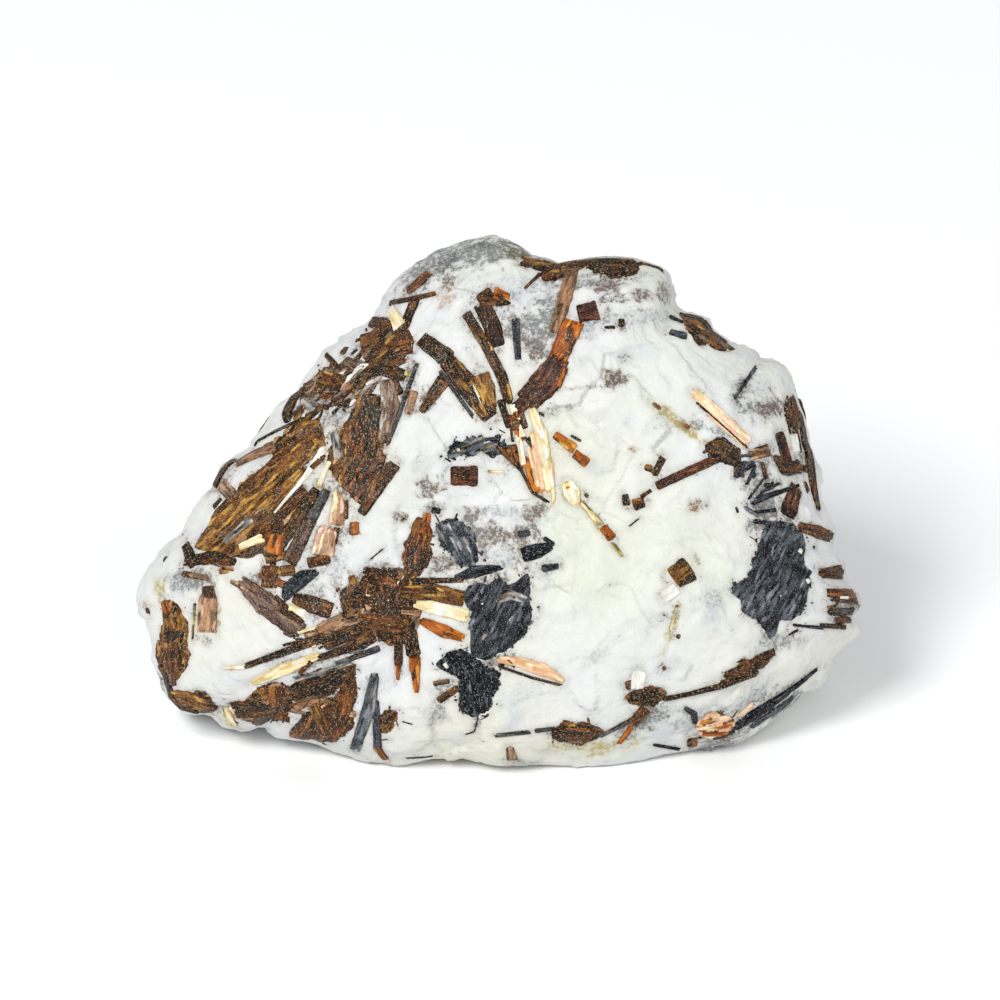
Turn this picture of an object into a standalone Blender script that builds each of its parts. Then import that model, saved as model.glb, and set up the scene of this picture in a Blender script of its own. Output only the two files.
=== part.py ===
"""A hand specimen of astrophyllite: bronze blades and black aegirine grown through a lump of white feldspar.

The lump is described on its showy face: u runs right, v runs up and w comes out towards the viewer, in
millimetres. That face leans back by FACE_LEAN, and the lump rests on a flat broken underside at z = 0.
"""

import math

import bmesh
import bpy
import numpy as np
from mathutils import Vector

MM = 0.001

# How the face stands in the part's own frame.
FACE_LEAN = math.radians(30)
FACE_CENTRE = (0.06, -10.69, 32.9)  # where u = v = w = 0 is, in millimetres
NAME = "astrophyllite_specimen"

# The outline of the lump seen square on to the showy face, anticlockwise from the right.
OUTLINE = [
    (40.5, 0.0), (40.2, 3.5), (38.8, 7.5), (38.3, 10.5), (37.3, 13.6), (36.6, 15.8), (35.4, 17.0),
    (33.6, 17.6), (32.7, 17.4), (32.2, 18.4), (31.3, 19.0), (29.8, 19.3), (28.5, 20.3), (26.9, 21.4),
    (26.3, 22.7), (25.4, 23.2), (23.2, 23.6), (22.3, 24.4), (21.9, 25.5), (21.7, 27.2), (21.3, 28.6),
    (20.3, 29.5), (17.5, 30.3), (15.0, 30.6), (11.2, 30.4), (7.4, 29.8), (5.8, 30.4), (4.0, 30.7),
    (2.6, 32.0), (1.0, 32.9), (-0.7, 33.3), (-2.9, 32.9), (-6.0, 32.2), (-8.5, 31.4), (-10.8, 29.8),
    (-12.9, 28.0), (-14.2, 26.0), (-15.5, 23.8), (-17.0, 22.0), (-20.3, 20.0), (-22.3, 18.9),
    (-23.1, 17.6), (-25.5, 13.6), (-28.0, 11.6), (-30.2, 8.6), (-31.5, 6.5), (-35.3, 4.0),
    (-36.5, 1.5), (-38.3, -0.5), (-40.2, -4.2), (-42.0, -5.8), (-44.0, -8.2), (-45.6, -10.5),
    (-46.0, -12.6), (-44.9, -15.0), (-43.8, -18.2), (-43.9, -20.0), (-42.6, -22.5), (-41.9, -25.0),
    (-40.5, -26.5), (-39.0, -27.1), (-36.6, -27.1), (-35.0, -28.7), (-32.8, -29.2), (-29.8, -28.5),
    (-28.5, -29.8), (-23.5, -30.7), (-20.0, -31.8), (-15.0, -32.9), (-12.5, -33.2), (-8.7, -32.6),
    (-4.5, -32.2), (-1.5, -33.1), (6.0, -33.4), (13.0, -33.6), (18.9, -32.6), (23.5, -31.7),
    (27.0, -31.4), (29.5, -31.0), (31.5, -29.9), (34.5, -27.5), (36.9, -25.6), (38.0, -24.4),
    (40.4, -23.1), (41.4, -21.9), (41.6, -19.9), (42.6, -18.7), (45.0, -17.0), (45.2, -16.0),
    (44.4, -15.2), (45.4, -13.8), (45.6, -12.8), (44.8, -11.4), (43.6, -10.7), (43.6, -8.2),
    (42.1, -6.6), (42.4, -4.3), (41.2, -1.5),
]  # fmt: skip

# Depth of that outline behind the face, by its bearing in degrees: (bearing, w).
RIM_DEPTH = [(0, -13), (35, -11), (80, -9), (115, -12), (150, -9), (190, -14), (215, -12), (270, -7), (310, -12)]
RIM_SQUARENESS = 4.0  # 2 is an ellipse; more keeps the face flat until close to the rim
BACK_SQUARENESS = 3.0
BACK_DEPTH = -40.0
BACK_SLOPE = 0.5  # the back comes forward by this for each millimetre up

# The showy face is the lowest of these planes: (u, v of a point, bearing it falls towards, slope, w there).
FACE_PLANES = [
    (0.0, 0.0, 100, 0.03, 1.2),
    (14.0, -27.5, -71, 0.60, 1.6),
    (33.0, -25.0, -59, 1.00, 0.0),
    (-24.0, 2.0, 131, 0.26, 1.4),
    (-36.0, -16.0, 185, 0.32, 0.6),
    (-4.0, 28.2, 106, 0.95, 0.8),
    (33.0, 8.0, 15, 0.34, 0.9),
    (-26.0, -27.0, 250, 0.40, 1.0),
]
FACE_BLEND = 0.7  # how far the planes round into each other
# Hollows in the face: (u, v, half width, half height, depth).
HOLLOWS = [
    (-2.0, 2.6, 6.5, 4.2, 1.5),
    (30.6, 15.2, 1.6, 2.4, 1.3),
    (-29.5, -2.6, 3.6, 2.6, 1.0),
    (4.6, 25.0, 5.0, 3.4, 0.8),
    (-22.0, 6.5, 2.2, 2.6, 0.8),
    (33.0, -18.0, 5.0, 2.2, 0.9),
]
RIPPLE = 0.5  # height of the broad waves in the surface
CHOP = 0.3  # and of the short ones
# Flat breaks on the sides and back: (u, v, w of the outward direction, distance from the middle of the back).
BREAKS = [
    ((0.55, 0.30, -0.78), 24.5), ((-0.62, 0.20, -0.76), 26.5), ((0.05, 0.72, -0.69), 26.0),
    ((-0.20, -0.30, -0.93), 20.5), ((0.90, -0.10, -0.42), 42.0), ((-0.93, -0.25, -0.27), 44.5),
    ((0.35, 0.85, -0.40), 31.5), ((-0.60, 0.72, -0.35), 27.5),
]  # fmt: skip
BREAK_CENTRE = (0.0, -2.0, -16.0)
BREAK_HARDNESS = 0.9  # 1 cuts the break dead flat

LUMP_DIVISIONS = 13  # squares along each side of the cube that the lump is made from
BLADE_STEP = 9.0  # longest run of a blade between two bends
BLADE_PROUD = 0.5  # how far a crystal stands out of the feldspar
BLADE_DEEP = 1.5  # and how far it goes in
BLADE_STAGGER = (0.0, 0.24, 0.12, 0.36, 0.48)  # blades of one crystal stand out by this much more, in turn
SOCKET_GAP = 0.3  # clearance between a crystal and its socket
MASS_GROWTH = 1.6  # a broad mass's socket is wider by this many gaps, for the sharp corners
MASS_DOME = 1.3  # and the middle of a mass stands this many times higher than its rim

# Crystals of the showy face. A crystal is a list of blades, and a blade a list of (u, v, width).
BRONZE = {
    "left_sheaf": [
        [(-22.6, 8.2, 2.0), (-26.5, 4.6, 3.6), (-31.5, -0.4, 3.4), (-37.6, -5.6, 2.6)],
        [(-22.8, 8.4, 1.4), (-28.2, 7.0, 1.8), (-32.0, 5.0, 1.0)],
        [(-24.4, 4.2, 1.4), (-27.6, -0.6, 1.9), (-29.4, -3.4, 1.0)],
        [(-23.9, 3.6, 1.4), (-25.4, -1.8, 1.9), (-29.0, -7.4, 1.9)],
        [(-39.0, -6.6, 2.4), (-33.0, -7.6, 2.2)],
        [(-28.8, -6.8, 2.4), (-28.5, -11.0, 1.9)],
    ],
    "inner_bundle": [
        [(-16.6, 12.0, 1.8), (-16.8, 9.0, 2.9), (-16.9, 4.4, 3.0)],
        [(-13.6, 4.6, 2.6), (-17.4, -1.6, 1.6)],
        [(-15.6, 5.6, 2.4), (-18.6, 0.8, 2.6)],
    ],
    "crest_cluster": [
        [(-16.8, 19.9, 2.4), (-13.7, 20.9, 2.6)],
        [(-17.0, 18.2, 1.8), (-12.4, 19.1, 3.0), (-10.9, 19.2, 1.8)],
        [(-11.2, 25.6, 1.0), (-13.4, 19.4, 1.2)],
        [(-22.8, 15.2, 1.6), (-16.6, 15.8, 1.5), (-14.2, 19.0, 1.6)],
    ],
    "star": [
        [(-18.6, -12.2, 2.8), (-13.5, -13.2, 3.6)],
        [(-17.2, -9.2, 1.8), (-12.6, -10.2, 2.4)],
        [(-14.6, -9.0, 2.6), (-13.8, -17.6, 3.2)],
        [(-11.6, -10.8, 1.7), (-10.3, -5.2, 2.7), (-9.9, -2.2, 1.0)],
        [(-13.0, -11.2, 1.6), (-5.6, -12.4, 1.9)],
        [(-12.4, -13.8, 1.0), (-7.2, -16.6, 1.4), (-5.0, -17.2, 0.5)],
        [(-12.8, -15.6, 0.9), (-12.8, -22.2, 0.7)],
        [(-11.6, -14.2, 2.0), (-10.6, -19.5, 1.5), (-10.4, -24.0, 0.4)],
        [(-15.0, -15.0, 1.6), (-22.0, -17.2, 1.6), (-32.2, -20.9, 0.5)],
        [(-15.0, -16.0, 1.4), (-22.2, -19.4, 1.5), (-30.8, -22.7, 0.8)],
    ],
    "violet_blade": [[(-32.3, -10.2, 0.9), (-29.3, -12.8, 1.9), (-25.0, -15.9, 1.6)]],
    "small_block": [[(-25.4, -12.2, 1.0), (-21.2, -13.2, 1.9)]],
    "brown_tablet": [[(-37.0, -11.2, 1.7), (-36.6, -16.3, 2.8)]],
    "pink_tablets": [[(-20.4, 0.6, 1.0), (-20.9, -3.2, 2.6)], [(-21.2, -2.2, 1.8), (-22.2, -6.8, 2.4)]],
    "grey_blade": [[(-21.8, 0.8, 0.8), (-23.6, -2.8, 1.1), (-26.2, -7.2, 1.3)]],
    "lower_band": [
        [(-41.4, -18.2, 3.2), (-41.3, -24.2, 1.4)],
        [(-41.4, -24.4, 1.6), (-39.0, -25.2, 3.0), (-36.6, -25.8, 1.8)],
        [(-36.8, -26.0, 1.4), (-28.8, -26.2, 2.8)],
        [(-29.6, -25.2, 2.2), (-24.5, -23.8, 2.6), (-18.2, -21.0, 1.5)],
        [(-18.6, -21.4, 1.5), (-20.4, -26.4, 3.0), (-21.2, -29.6, 1.6)],
        [(-21.6, -26.8, 1.4), (-24.8, -29.2, 2.0)],
    ],
    "upper_fan": [
        [(-9.4, 19.4, 2.0), (-6.4, 17.5, 2.0)],
        [(-6.8, 17.6, 1.6), (-4.2, 13.6, 2.2), (-1.9, 10.4, 1.6)],
        [(-3.8, 22.8, 1.2), (-1.0, 17.6, 1.3), (1.4, 11.4, 1.6)],
        [(-2.4, 25.2, 1.6), (-0.4, 19.0, 1.9)],
        [(-2.2, 15.4, 2.4), (-0.7, 12.0, 2.4)],
        [(2.2, 11.6, 1.8), (5.6, 15.2, 3.4), (6.4, 16.8, 2.8)],
        [(6.2, 16.6, 2.2), (9.3, 22.0, 2.4)],
        [(3.0, 11.4, 1.4), (5.6, 6.6, 1.9), (6.4, 0.0, 1.5)],
        [(3.4, 7.6, 1.4), (4.4, 3.4, 2.4), (5.4, 0.8, 1.8)],
    ],
    "red_tablet": [[(-6.3, 2.95, 2.2), (-2.8, 2.85, 2.4)]],
    "crest_blades": [
        [(3.0, 29.3, 1.1), (16.2, 29.4, 1.2)],
        [(8.6, 29.2, 1.6), (7.6, 23.8, 1.4)],
    ],
    "square_tablet": [[(10.2, 23.5, 2.0), (12.2, 23.5, 2.0)]],
    "amber_chip": [[(6.9, 8.1, 1.0), (9.4, 6.3, 1.3), (10.9, 4.8, 0.9)]],
    "peach_blade": [[(24.3, 13.4, 1.2), (27.4, 10.4, 1.7), (30.8, 7.1, 1.9)]],
    "dark_knot": [[(25.6, 6.3, 1.4), (27.6, 6.7, 2.2), (29.4, 5.0, 1.3)]],
    "long_blade": [[(20.9, 2.4, 0.8), (24.2, 4.2, 1.0), (25.2, 4.5, 0.9)]],
    "curled_blade": [[(15.6, 0.3, 1.0), (16.6, -0.6, 1.2), (17.8, 0.1, 1.1), (19.3, 1.6, 0.6)]],
    "olive_tablet": [[(31.8, 5.9, 1.2), (33.2, 6.5, 1.3)]],
    "chevron": [
        [(35.2, 8.0, 1.4), (36.3, 4.4, 1.7)],
        [(35.2, 3.8, 1.5), (37.8, 4.0, 1.4)],
    ],
    "rim_blade": [
        [(36.9, 12.4, 1.4), (37.1, 9.6, 1.6)],
        [(37.6, 12.2, 0.7), (38.2, 8.0, 0.9), (38.9, 4.6, 0.9), (39.7, 0.8, 0.6)],
    ],
    "slanted_tablet": [[(37.0, 0.6, 2.0), (35.9, -1.9, 1.8)]],
    "golden_bar": [[(37.6, -3.3, 1.0), (41.4, -4.6, 1.1)]],
    "upper_bar": [[(40.2, -9.1, 0.8), (43.0, -8.9, 1.4)]],
    "lobe_blade": [[(41.0, -11.5, 0.9), (42.8, -11.8, 1.2)]],
    "lobe_seam": [[(39.9, -15.0, 1.2), (42.2, -14.8, 1.4)]],
    "gold_tablet": [[(21.3, -8.9, 1.8), (23.7, -9.0, 2.4)], [(21.9, -9.4, 1.3), (20.6, -12.2, 1.2)]],
    "oval_flake": [[(8.4, 2.3, 1.2), (9.0, 0.8, 2.4), (9.3, -0.7, 1.2)]],
    "amber_tablet": [[(13.1, -3.4, 1.3), (14.1, -4.9, 1.3)]],
    "copper_blade": [[(0.5, -20.1, 1.0), (2.6, -21.2, 1.0), (5.2, -21.3, 1.6), (8.0, -22.7, 0.6)]],
    "ledge_seam": [
        [(-0.4, -29.4, 0.7), (6.8, -28.8, 0.7)],
        [(6.4, -29.1, 1.7), (9.6, -29.1, 2.4), (12.4, -29.0, 1.2)],
        [(12.0, -29.2, 0.8), (16.8, -27.3, 0.8)],
        [(20.6, -24.0, 1.5), (16.2, -28.2, 1.5)],
        [(19.6, -24.8, 1.0), (24.0, -24.2, 0.8), (28.0, -23.1, 0.9), (32.4, -21.7, 0.7)],
        [(28.4, -22.3, 1.3), (31.2, -21.1, 1.7), (33.6, -19.4, 0.7)],
    ],
    "copper_patch": [[(25.7, -28.4, 0.9), (27.2, -28.2, 1.7), (28.7, -27.8, 1.0)]],
    "low_cluster": [[(-14.3, -28.2, 1.3), (-13.2, -26.8, 1.0)]],
}
BLACK = {
    "dark_hook": [[(-22.6, -9.0, 0.6), (-24.9, -9.9, 1.5), (-26.7, -11.8, 0.6)]],
    "grey_needles": [
        [(-15.9, -21.8, 1.0), (-18.3, -30.8, 1.1)],
        [(-15.3, -22.0, 0.9), (-16.1, -31.0, 0.9)],
    ],
    "ragged_arch": [
        [(-6.2, 5.9, 0.7), (-4.6, 7.2, 0.9), (-1.0, 7.3, 0.9), (1.5, 5.1, 1.0)]
    ],
    "upright_needle": [[(1.8, 22.8, 1.1), (2.3, 17.3, 0.8)]],
    "long_splinter": [[(31.4, -0.1, 0.8), (33.6, 1.0, 0.7), (37.3, 2.0, 0.5)]],
    "edge_seam": [[(26.4, -30.1, 0.4), (28.8, -29.8, 0.6), (31.2, -27.5, 1.0), (35.8, -24.4, 0.6), (39.6, -21.3, 0.5)]],
    "flat_splinter": [[(-6.0, -9.7, 0.5), (-2.6, -8.7, 1.3), (0.5, -8.5, 0.4)]],
    "striped_mass": [[(-6.9, -3.4, 1.6), (-4.6, -4.6, 2.2), (-3.5, -7.1, 1.2)]],
    "small_brick": [[(2.9, -6.8, 1.4), (4.6, -6.5, 1.4), (6.3, -5.8, 0.6)]],
}
# The broad black masses: a middle, and an outline in order of bearing from it.
MASSES = {
    "middle_mass": ((-0.2, -14.2), [
        (3.0, -16.0), (3.6, -14.0), (3.7, -12.0), (3.6, -9.2), (2.2, -10.1), (0.8, -10.4), (-1.4, -10.7),
        (-3.0, -11.4), (-4.4, -12.6), (-3.2, -14.0), (-3.6, -15.4), (-3.0, -17.0), (-1.4, -18.6),
        (0.4, -18.3), (1.6, -17.6),
    ]),
    "lower_mass": ((-3.2, -22.3), [
        (-0.2, -22.9), (0.0, -21.6), (-1.0, -20.6), (-2.4, -19.7), (-3.5, -18.7), (-4.8, -18.5), (-6.6, -19.5),
        (-8.0, -20.6), (-7.0, -21.5), (-5.3, -22.3), (-4.9, -24.0), (-4.5, -26.0), (-3.0, -27.0),
        (-1.6, -26.4), (-0.9, -24.4),
    ]),
    "right_mass": ((34.8, -9.0), [
        (38.8, -9.6), (38.0, -8.2), (37.2, -6.8), (37.6, -5.4), (36.6, -4.1), (34.8, -3.0), (33.0, -1.8),
        (32.0, -2.8), (31.4, -5.4), (31.4, -8.2), (30.6, -10.2), (29.4, -11.2), (30.8, -12.6),
        (32.2, -15.0), (34.0, -16.8), (35.2, -15.4), (37.4, -14.0), (38.6, -12.0),
    ]),
}  # fmt: skip

# Sprays of the sides and back: longitude and latitude from the middle of the back, and their
# (heading, reach) in degrees and width in millimetres.
BACK_SPRAYS = {
    "back_star": ((-28, 12), [(5, 22, 2.2), (62, 17, 1.8), (118, 21, 2.4), (232, 20, 2.0), (300, 16, 1.8)]),
    "back_fan": ((34, 22), [(200, 24, 2.4), (242, 26, 2.0), (18, 12, 1.6)]),
    "back_pair": ((20, -14), [(150, 18, 2.2), (335, 14, 1.8)]),
    "left_side_fan": ((-82, 4), [(70, 17, 2.2), (128, 15, 1.8), (262, 14, 1.6)]),
    "right_side_fan": ((80, 10), [(96, 16, 2.0), (140, 14, 1.6), (275, 15, 2.0)]),
}
BACK_MASSES = {"back_mass": ((4, 40), 5.2), "side_mass": ((58, -4), 4.2)}
MASS_CORNERS = 11


def outline_radius(bearing):
    """Distance from the middle of the face to the outline, read between its points."""
    points = np.array(OUTLINE)
    at = np.arctan2(points[:, 1], points[:, 0])
    order = np.argsort(at)
    return np.interp(bearing, at[order], np.hypot(*points[order].T), period=2 * math.pi)


def rim_depth(bearing):
    at, depth = np.array(RIM_DEPTH, float).T
    return np.interp(np.degrees(bearing), at, depth, period=360)


def face_depth(u, v):
    """The lowest of the face's planes, rounded where they meet, less its hollows."""
    falls = []
    for pu, pv, bearing, slope, height in FACE_PLANES:
        ahead = (u - pu) * math.cos(math.radians(bearing)) + (v - pv) * math.sin(math.radians(bearing))
        falls.append(height - slope * ahead)
    lowest = -FACE_BLEND * np.log(np.sum(np.exp(-np.array(falls) / FACE_BLEND), axis=0))
    for hu, hv, across, up, depth in HOLLOWS:
        lowest = lowest - depth * np.exp(-(((u - hu) / across) ** 2) - ((v - hv) / up) ** 2)
    return lowest


def waves(p):
    """Waves through space, broad and short, that roughen the surface."""
    u, v, w = p.T
    broad = (
        np.sin(0.37 * u + 0.21 * v + 1.3)
        + np.sin(0.17 * u - 0.43 * v + 0.29 * w + 4.1)
        + np.sin(-0.31 * u + 0.13 * v + 0.41 * w + 2.2)
    )
    short = np.sin(0.83 * u - 0.36 * v + 0.9) + np.sin(0.28 * u + 0.79 * v - 0.55 * w)
    return RIPPLE * broad / 3 + CHOP * short / 2


def stone(directions):
    """Points of the lump's surface, in u, v and w, for directions out of its middle."""
    a, b, c = (directions / np.linalg.norm(directions, axis=1)[:, None]).T
    out = np.hypot(a, b).clip(0, 1)
    bearing = np.arctan2(b, a)
    reach = outline_radius(bearing) * out
    u, v = reach * np.cos(bearing), reach * np.sin(bearing)
    rim = rim_depth(bearing)
    ahead = np.sqrt(1 - out**RIM_SQUARENESS)
    behind = np.sqrt(1 - out**BACK_SQUARENESS)
    w = np.where(
        c >= 0,
        rim + (face_depth(u, v) - rim) * ahead,
        rim - (rim - BACK_DEPTH - BACK_SLOPE * v) * behind,
    )
    p = np.stack([u, v, w], axis=1)
    p[:, 2] += waves(p) * ahead
    for direction, distance in BREAKS:
        normal = np.array(direction) / np.linalg.norm(direction)
        over = (p - BREAK_CENTRE) @ normal - distance
        p -= BREAK_HARDNESS * over.clip(min=0)[:, None] * normal
    return p


def outward(directions):
    """Unit normals of the lump's surface, from two short steps along it."""
    step = 0.01
    side = np.cross(directions, [0.31, 0.87, 0.38])
    side /= np.linalg.norm(side, axis=1)[:, None]
    up = np.cross(directions, side)
    along = stone(directions + step * side) - stone(directions - step * side)
    across = stone(directions + step * up) - stone(directions - step * up)
    normal = np.cross(along, across)
    return normal / np.linalg.norm(normal, axis=1)[:, None]


def in_front(u, v):
    """The direction out of the middle that meets the showy face at u, v."""
    u, v = np.asarray(u, float), np.asarray(v, float)
    bearing = np.arctan2(v, u)
    out = np.minimum(np.hypot(u, v) / outline_radius(bearing), 0.985)
    return np.stack([out * np.cos(bearing), out * np.sin(bearing), np.sqrt(1 - out**2)], axis=-1)


def from_behind(longitude, latitude):
    """The direction at a longitude and latitude from the middle of the back, in degrees."""
    lon, lat = math.radians(longitude), math.radians(latitude)
    return np.array([math.sin(lon) * math.cos(lat), math.sin(lat), -math.cos(lon) * math.cos(lat)])


def heading_from(start, heading, reach):
    """The direction that lies at a heading and reach, in degrees, from another."""
    east = np.cross([0, 1, 0], start)
    east /= np.linalg.norm(east)
    north = np.cross(start, east)
    way = math.cos(math.radians(heading)) * east + math.sin(math.radians(heading)) * north
    return math.cos(math.radians(reach)) * start + math.sin(math.radians(reach)) * way


def to_frame(p):
    """Millimetres on the face to metres in the part's frame."""
    u, v, w = np.asarray(p, float).T
    y = v * math.sin(FACE_LEAN) - w * math.cos(FACE_LEAN)
    z = v * math.cos(FACE_LEAN) + w * math.sin(FACE_LEAN)
    return (np.stack([u, y, z], axis=1) + FACE_CENTRE) * MM


def front_path(blade):
    """Directions and widths along a blade of the showy face, bent at least every BLADE_STEP."""
    directions, widths = [], []
    for (u0, v0, w0), (u1, v1, w1) in zip(blade, blade[1:]):
        steps = max(1, math.ceil(math.hypot(u1 - u0, v1 - v0) / BLADE_STEP))
        share = np.arange(steps + 1)[0 if not directions else 1 :] / steps
        directions.append(in_front(u0 + share * (u1 - u0), v0 + share * (v1 - v0)))
        widths.append(w0 + share * (w1 - w0))
    return np.concatenate(directions), np.concatenate(widths)


def back_path(start, heading, reach, width):
    """Directions and widths along a tapering blade of a spray on the sides or back."""
    shares = (0.0, 0.5, 1.0)
    directions = np.array([heading_from(start, heading, reach * share) for share in shares])
    return directions, width * np.array([1.0, 0.9, 0.5])


def material(name, colour, roughness, metallic=0.0):
    made = bpy.data.materials.new(name)
    made.use_nodes = True
    shader = made.node_tree.nodes["Principled BSDF"]
    shader.inputs["Base Color"].default_value = (*colour, 1)
    shader.inputs["Roughness"].default_value = roughness
    shader.inputs["Metallic"].default_value = metallic
    return made


def add_object(bm, name, collection, finish=None):
    mesh = bpy.data.meshes.new(name)
    if bm.calc_volume(signed=True) < 0:
        bmesh.ops.reverse_faces(bm, faces=bm.faces)
    bm.to_mesh(mesh)
    bm.free()
    made = bpy.data.objects.new(name, mesh)
    collection.objects.link(made)
    if finish:
        mesh.materials.append(finish)
    else:
        made.hide_render = True
        made.display_type = "WIRE"
    return made


def place(verts, points):
    for vert, point in zip(verts, to_frame(points)):
        vert.co = Vector(point)


def make_lump(collection, finish):
    """The feldspar: a cube of small squares drawn onto the stone's surface, cut flat at the floor."""
    bm = bmesh.new()
    bmesh.ops.create_cube(bm, size=2)
    bmesh.ops.subdivide_edges(bm, edges=bm.edges[:], cuts=LUMP_DIVISIONS - 1, use_grid_fill=True)
    corners = np.array([vert.co for vert in bm.verts])
    place(bm.verts, stone(np.tan(corners * math.pi / 4)))
    bmesh.ops.triangulate(bm, faces=bm.faces[:])
    everything = bm.verts[:] + bm.edges[:] + bm.faces[:]
    bmesh.ops.bisect_plane(bm, geom=everything, plane_co=(0, 0, 0), plane_no=(0, 0, 1), clear_inner=True)
    bmesh.ops.holes_fill(bm, edges=[edge for edge in bm.edges if edge.is_boundary])
    return add_object(bm, "feldspar", collection, finish)


def make_blade(name, path, turn, collection, finish=None, grow=0.0):
    """A box drawn out along a path on the stone: sunk in it, staggered by its turn, and bigger all round by grow."""
    directions, widths = path
    points, normals = stone(directions), outward(directions)
    along = np.gradient(points, axis=0)
    across = np.cross(normals, along)
    across /= np.linalg.norm(across, axis=1)[:, None]
    ahead = np.cross(across, normals)
    points[0] -= grow * ahead[0]
    points[-1] += grow * ahead[-1]
    reach = BLADE_PROUD + BLADE_STAGGER[turn % len(BLADE_STAGGER)] + grow
    bm = bmesh.new()
    bmesh.ops.create_cube(bm, size=2)
    lengthwise = [edge for edge in bm.edges if abs(edge.verts[0].co.x - edge.verts[1].co.x) > 1]
    if len(points) > 2:
        bmesh.ops.subdivide_edges(bm, edges=lengthwise, cuts=len(points) - 2, use_grid_fill=True)
    bmesh.ops.triangulate(bm, faces=bm.faces[:], quad_method="FIXED")
    for vert in bm.verts:
        i = round((vert.co.x + 1) / 2 * (len(points) - 1))
        sideways = math.copysign(widths[i] / 2 + grow, vert.co.y)
        height = reach if vert.co.z > 0 else -BLADE_DEEP + BLADE_PROUD - reach
        vert.co = Vector(to_frame([points[i] + sideways * across[i] + height * normals[i]])[0])
    return add_object(bm, name, collection, finish)


def make_mass(name, middle, corners, collection, finish=None, grow=0.0):
    """A low mound with a fan top and bottom, over an outline of directions round a middle one."""
    rim, centre = stone(corners), stone(middle[None])[0]
    rim_out, centre_out = outward(corners), outward(middle[None])[0]
    edge = np.roll(rim, -1, axis=0) - np.roll(rim, 1, axis=0)
    sideways = np.cross(edge, centre_out)
    sideways /= np.linalg.norm(sideways, axis=1)[:, None]
    if ((rim - centre) * sideways).sum() < 0:
        sideways = -sideways
    rim = rim + MASS_GROWTH * grow * sideways
    bm = bmesh.new()
    bmesh.ops.create_cone(bm, segments=len(rim), radius1=1, radius2=1, depth=2, cap_ends=True, cap_tris=True)
    bmesh.ops.triangulate(bm, faces=bm.faces[:], quad_method="FIXED")
    turn = 2 * math.pi / len(rim)
    for vert in bm.verts:
        height = BLADE_PROUD + grow if vert.co.z > 0 else -BLADE_DEEP - grow
        if vert.co.xy.length < 0.5:
            spot = centre + MASS_DOME * height * centre_out
        else:
            i = round(math.atan2(vert.co.y, vert.co.x) / turn) % len(rim)
            spot = rim[i] + height * rim_out[i]
        vert.co = Vector(to_frame([spot])[0])
    return add_object(bm, name, collection, finish)


def join_by(target, operation, others):
    change = target.modifiers.new(operation.lower(), "BOOLEAN")
    change.operation = operation
    change.solver = "EXACT"
    change.operand_type = "COLLECTION"
    change.use_self = True
    change.collection = others
    return change


def settle(target):
    """Makes the cuts real, and drops the loose crumbs of feldspar left between neighbouring sockets."""
    graph = bpy.context.evaluated_depsgraph_get()
    bm = bmesh.new()
    bm.from_mesh(target.evaluated_get(graph).to_mesh())
    bodies, waiting = [], set(bm.verts)
    while waiting:
        body, border = set(), [waiting.pop()]
        while border:
            vert = border.pop()
            body.add(vert)
            near = {edge.other_vert(vert) for edge in vert.link_edges} & waiting
            waiting -= near
            border.extend(near)
        bodies.append(body)
    bodies.sort(key=len)
    crumbs = [vert for body in bodies[:-1] for vert in body]
    bmesh.ops.delete(bm, geom=crumbs, context="VERTS")
    target.modifiers.clear()
    bm.to_mesh(target.data)
    bm.free()


def make_crystal(name, paths, parts, hidden, sockets, finish):
    """One crystal: its blades joined in one solid, and a socket for each in the feldspar."""
    whole = make_blade(name, paths[0], 0, parts, finish)
    if len(paths) > 1:
        others = bpy.data.collections.new(name + "_blades")
        hidden.children.link(others)
        for i, path in enumerate(paths[1:], 1):
            make_blade(f"{name}_blade_{i}", path, i, others)
        join_by(whole, "UNION", others)
    for i, path in enumerate(paths):
        make_blade(f"{name}_socket_{i}", path, i, sockets, grow=SOCKET_GAP)


def build():
    for old in list(bpy.data.objects):
        bpy.data.objects.remove(old)
    parts = bpy.data.collections.new(NAME)
    hidden = bpy.data.collections.new("helpers")
    sockets = bpy.data.collections.new("sockets")
    bpy.context.scene.collection.children.link(parts)
    bpy.context.scene.collection.children.link(hidden)
    hidden.children.link(sockets)
    white = material("feldspar", (0.86, 0.87, 0.85), 0.45)
    bronze = material("astrophyllite", (0.20, 0.09, 0.03), 0.35, 0.3)
    black = material("aegirine", (0.035, 0.04, 0.045), 0.4)

    lump = make_lump(parts, white)
    for crystals, finish, mineral in ((BRONZE, bronze, "astrophyllite"), (BLACK, black, "aegirine")):
        for name, blades in crystals.items():
            paths = [front_path(blade) for blade in blades]
            make_crystal(f"{mineral}_{name}", paths, parts, hidden, sockets, finish)
    for name, (place_behind, rays) in BACK_SPRAYS.items():
        start = from_behind(*place_behind)
        paths = [back_path(start, *ray) for ray in rays]
        make_crystal(f"astrophyllite_{name}", paths, parts, hidden, sockets, bronze)
    masses = {}
    for name, (middle, outline) in MASSES.items():
        masses[name] = in_front(*middle), in_front(*np.array(outline).T)
    for name, (place_behind, reach) in BACK_MASSES.items():
        start = from_behind(*place_behind)
        reaches = reach * (1.6 + 0.35 * np.sin(np.arange(MASS_CORNERS) * 2.4))
        turns = np.arange(MASS_CORNERS) * 360 / MASS_CORNERS
        masses[name] = start, np.array([heading_from(start, *at) for at in zip(turns, reaches)])
    for name, (middle, corners) in masses.items():
        make_mass(f"aegirine_{name}", middle, corners, parts, black)
        make_mass(f"aegirine_{name}_socket", middle, corners, sockets, grow=SOCKET_GAP)
    join_by(lump, "DIFFERENCE", sockets)
    settle(lump)


build()
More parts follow.
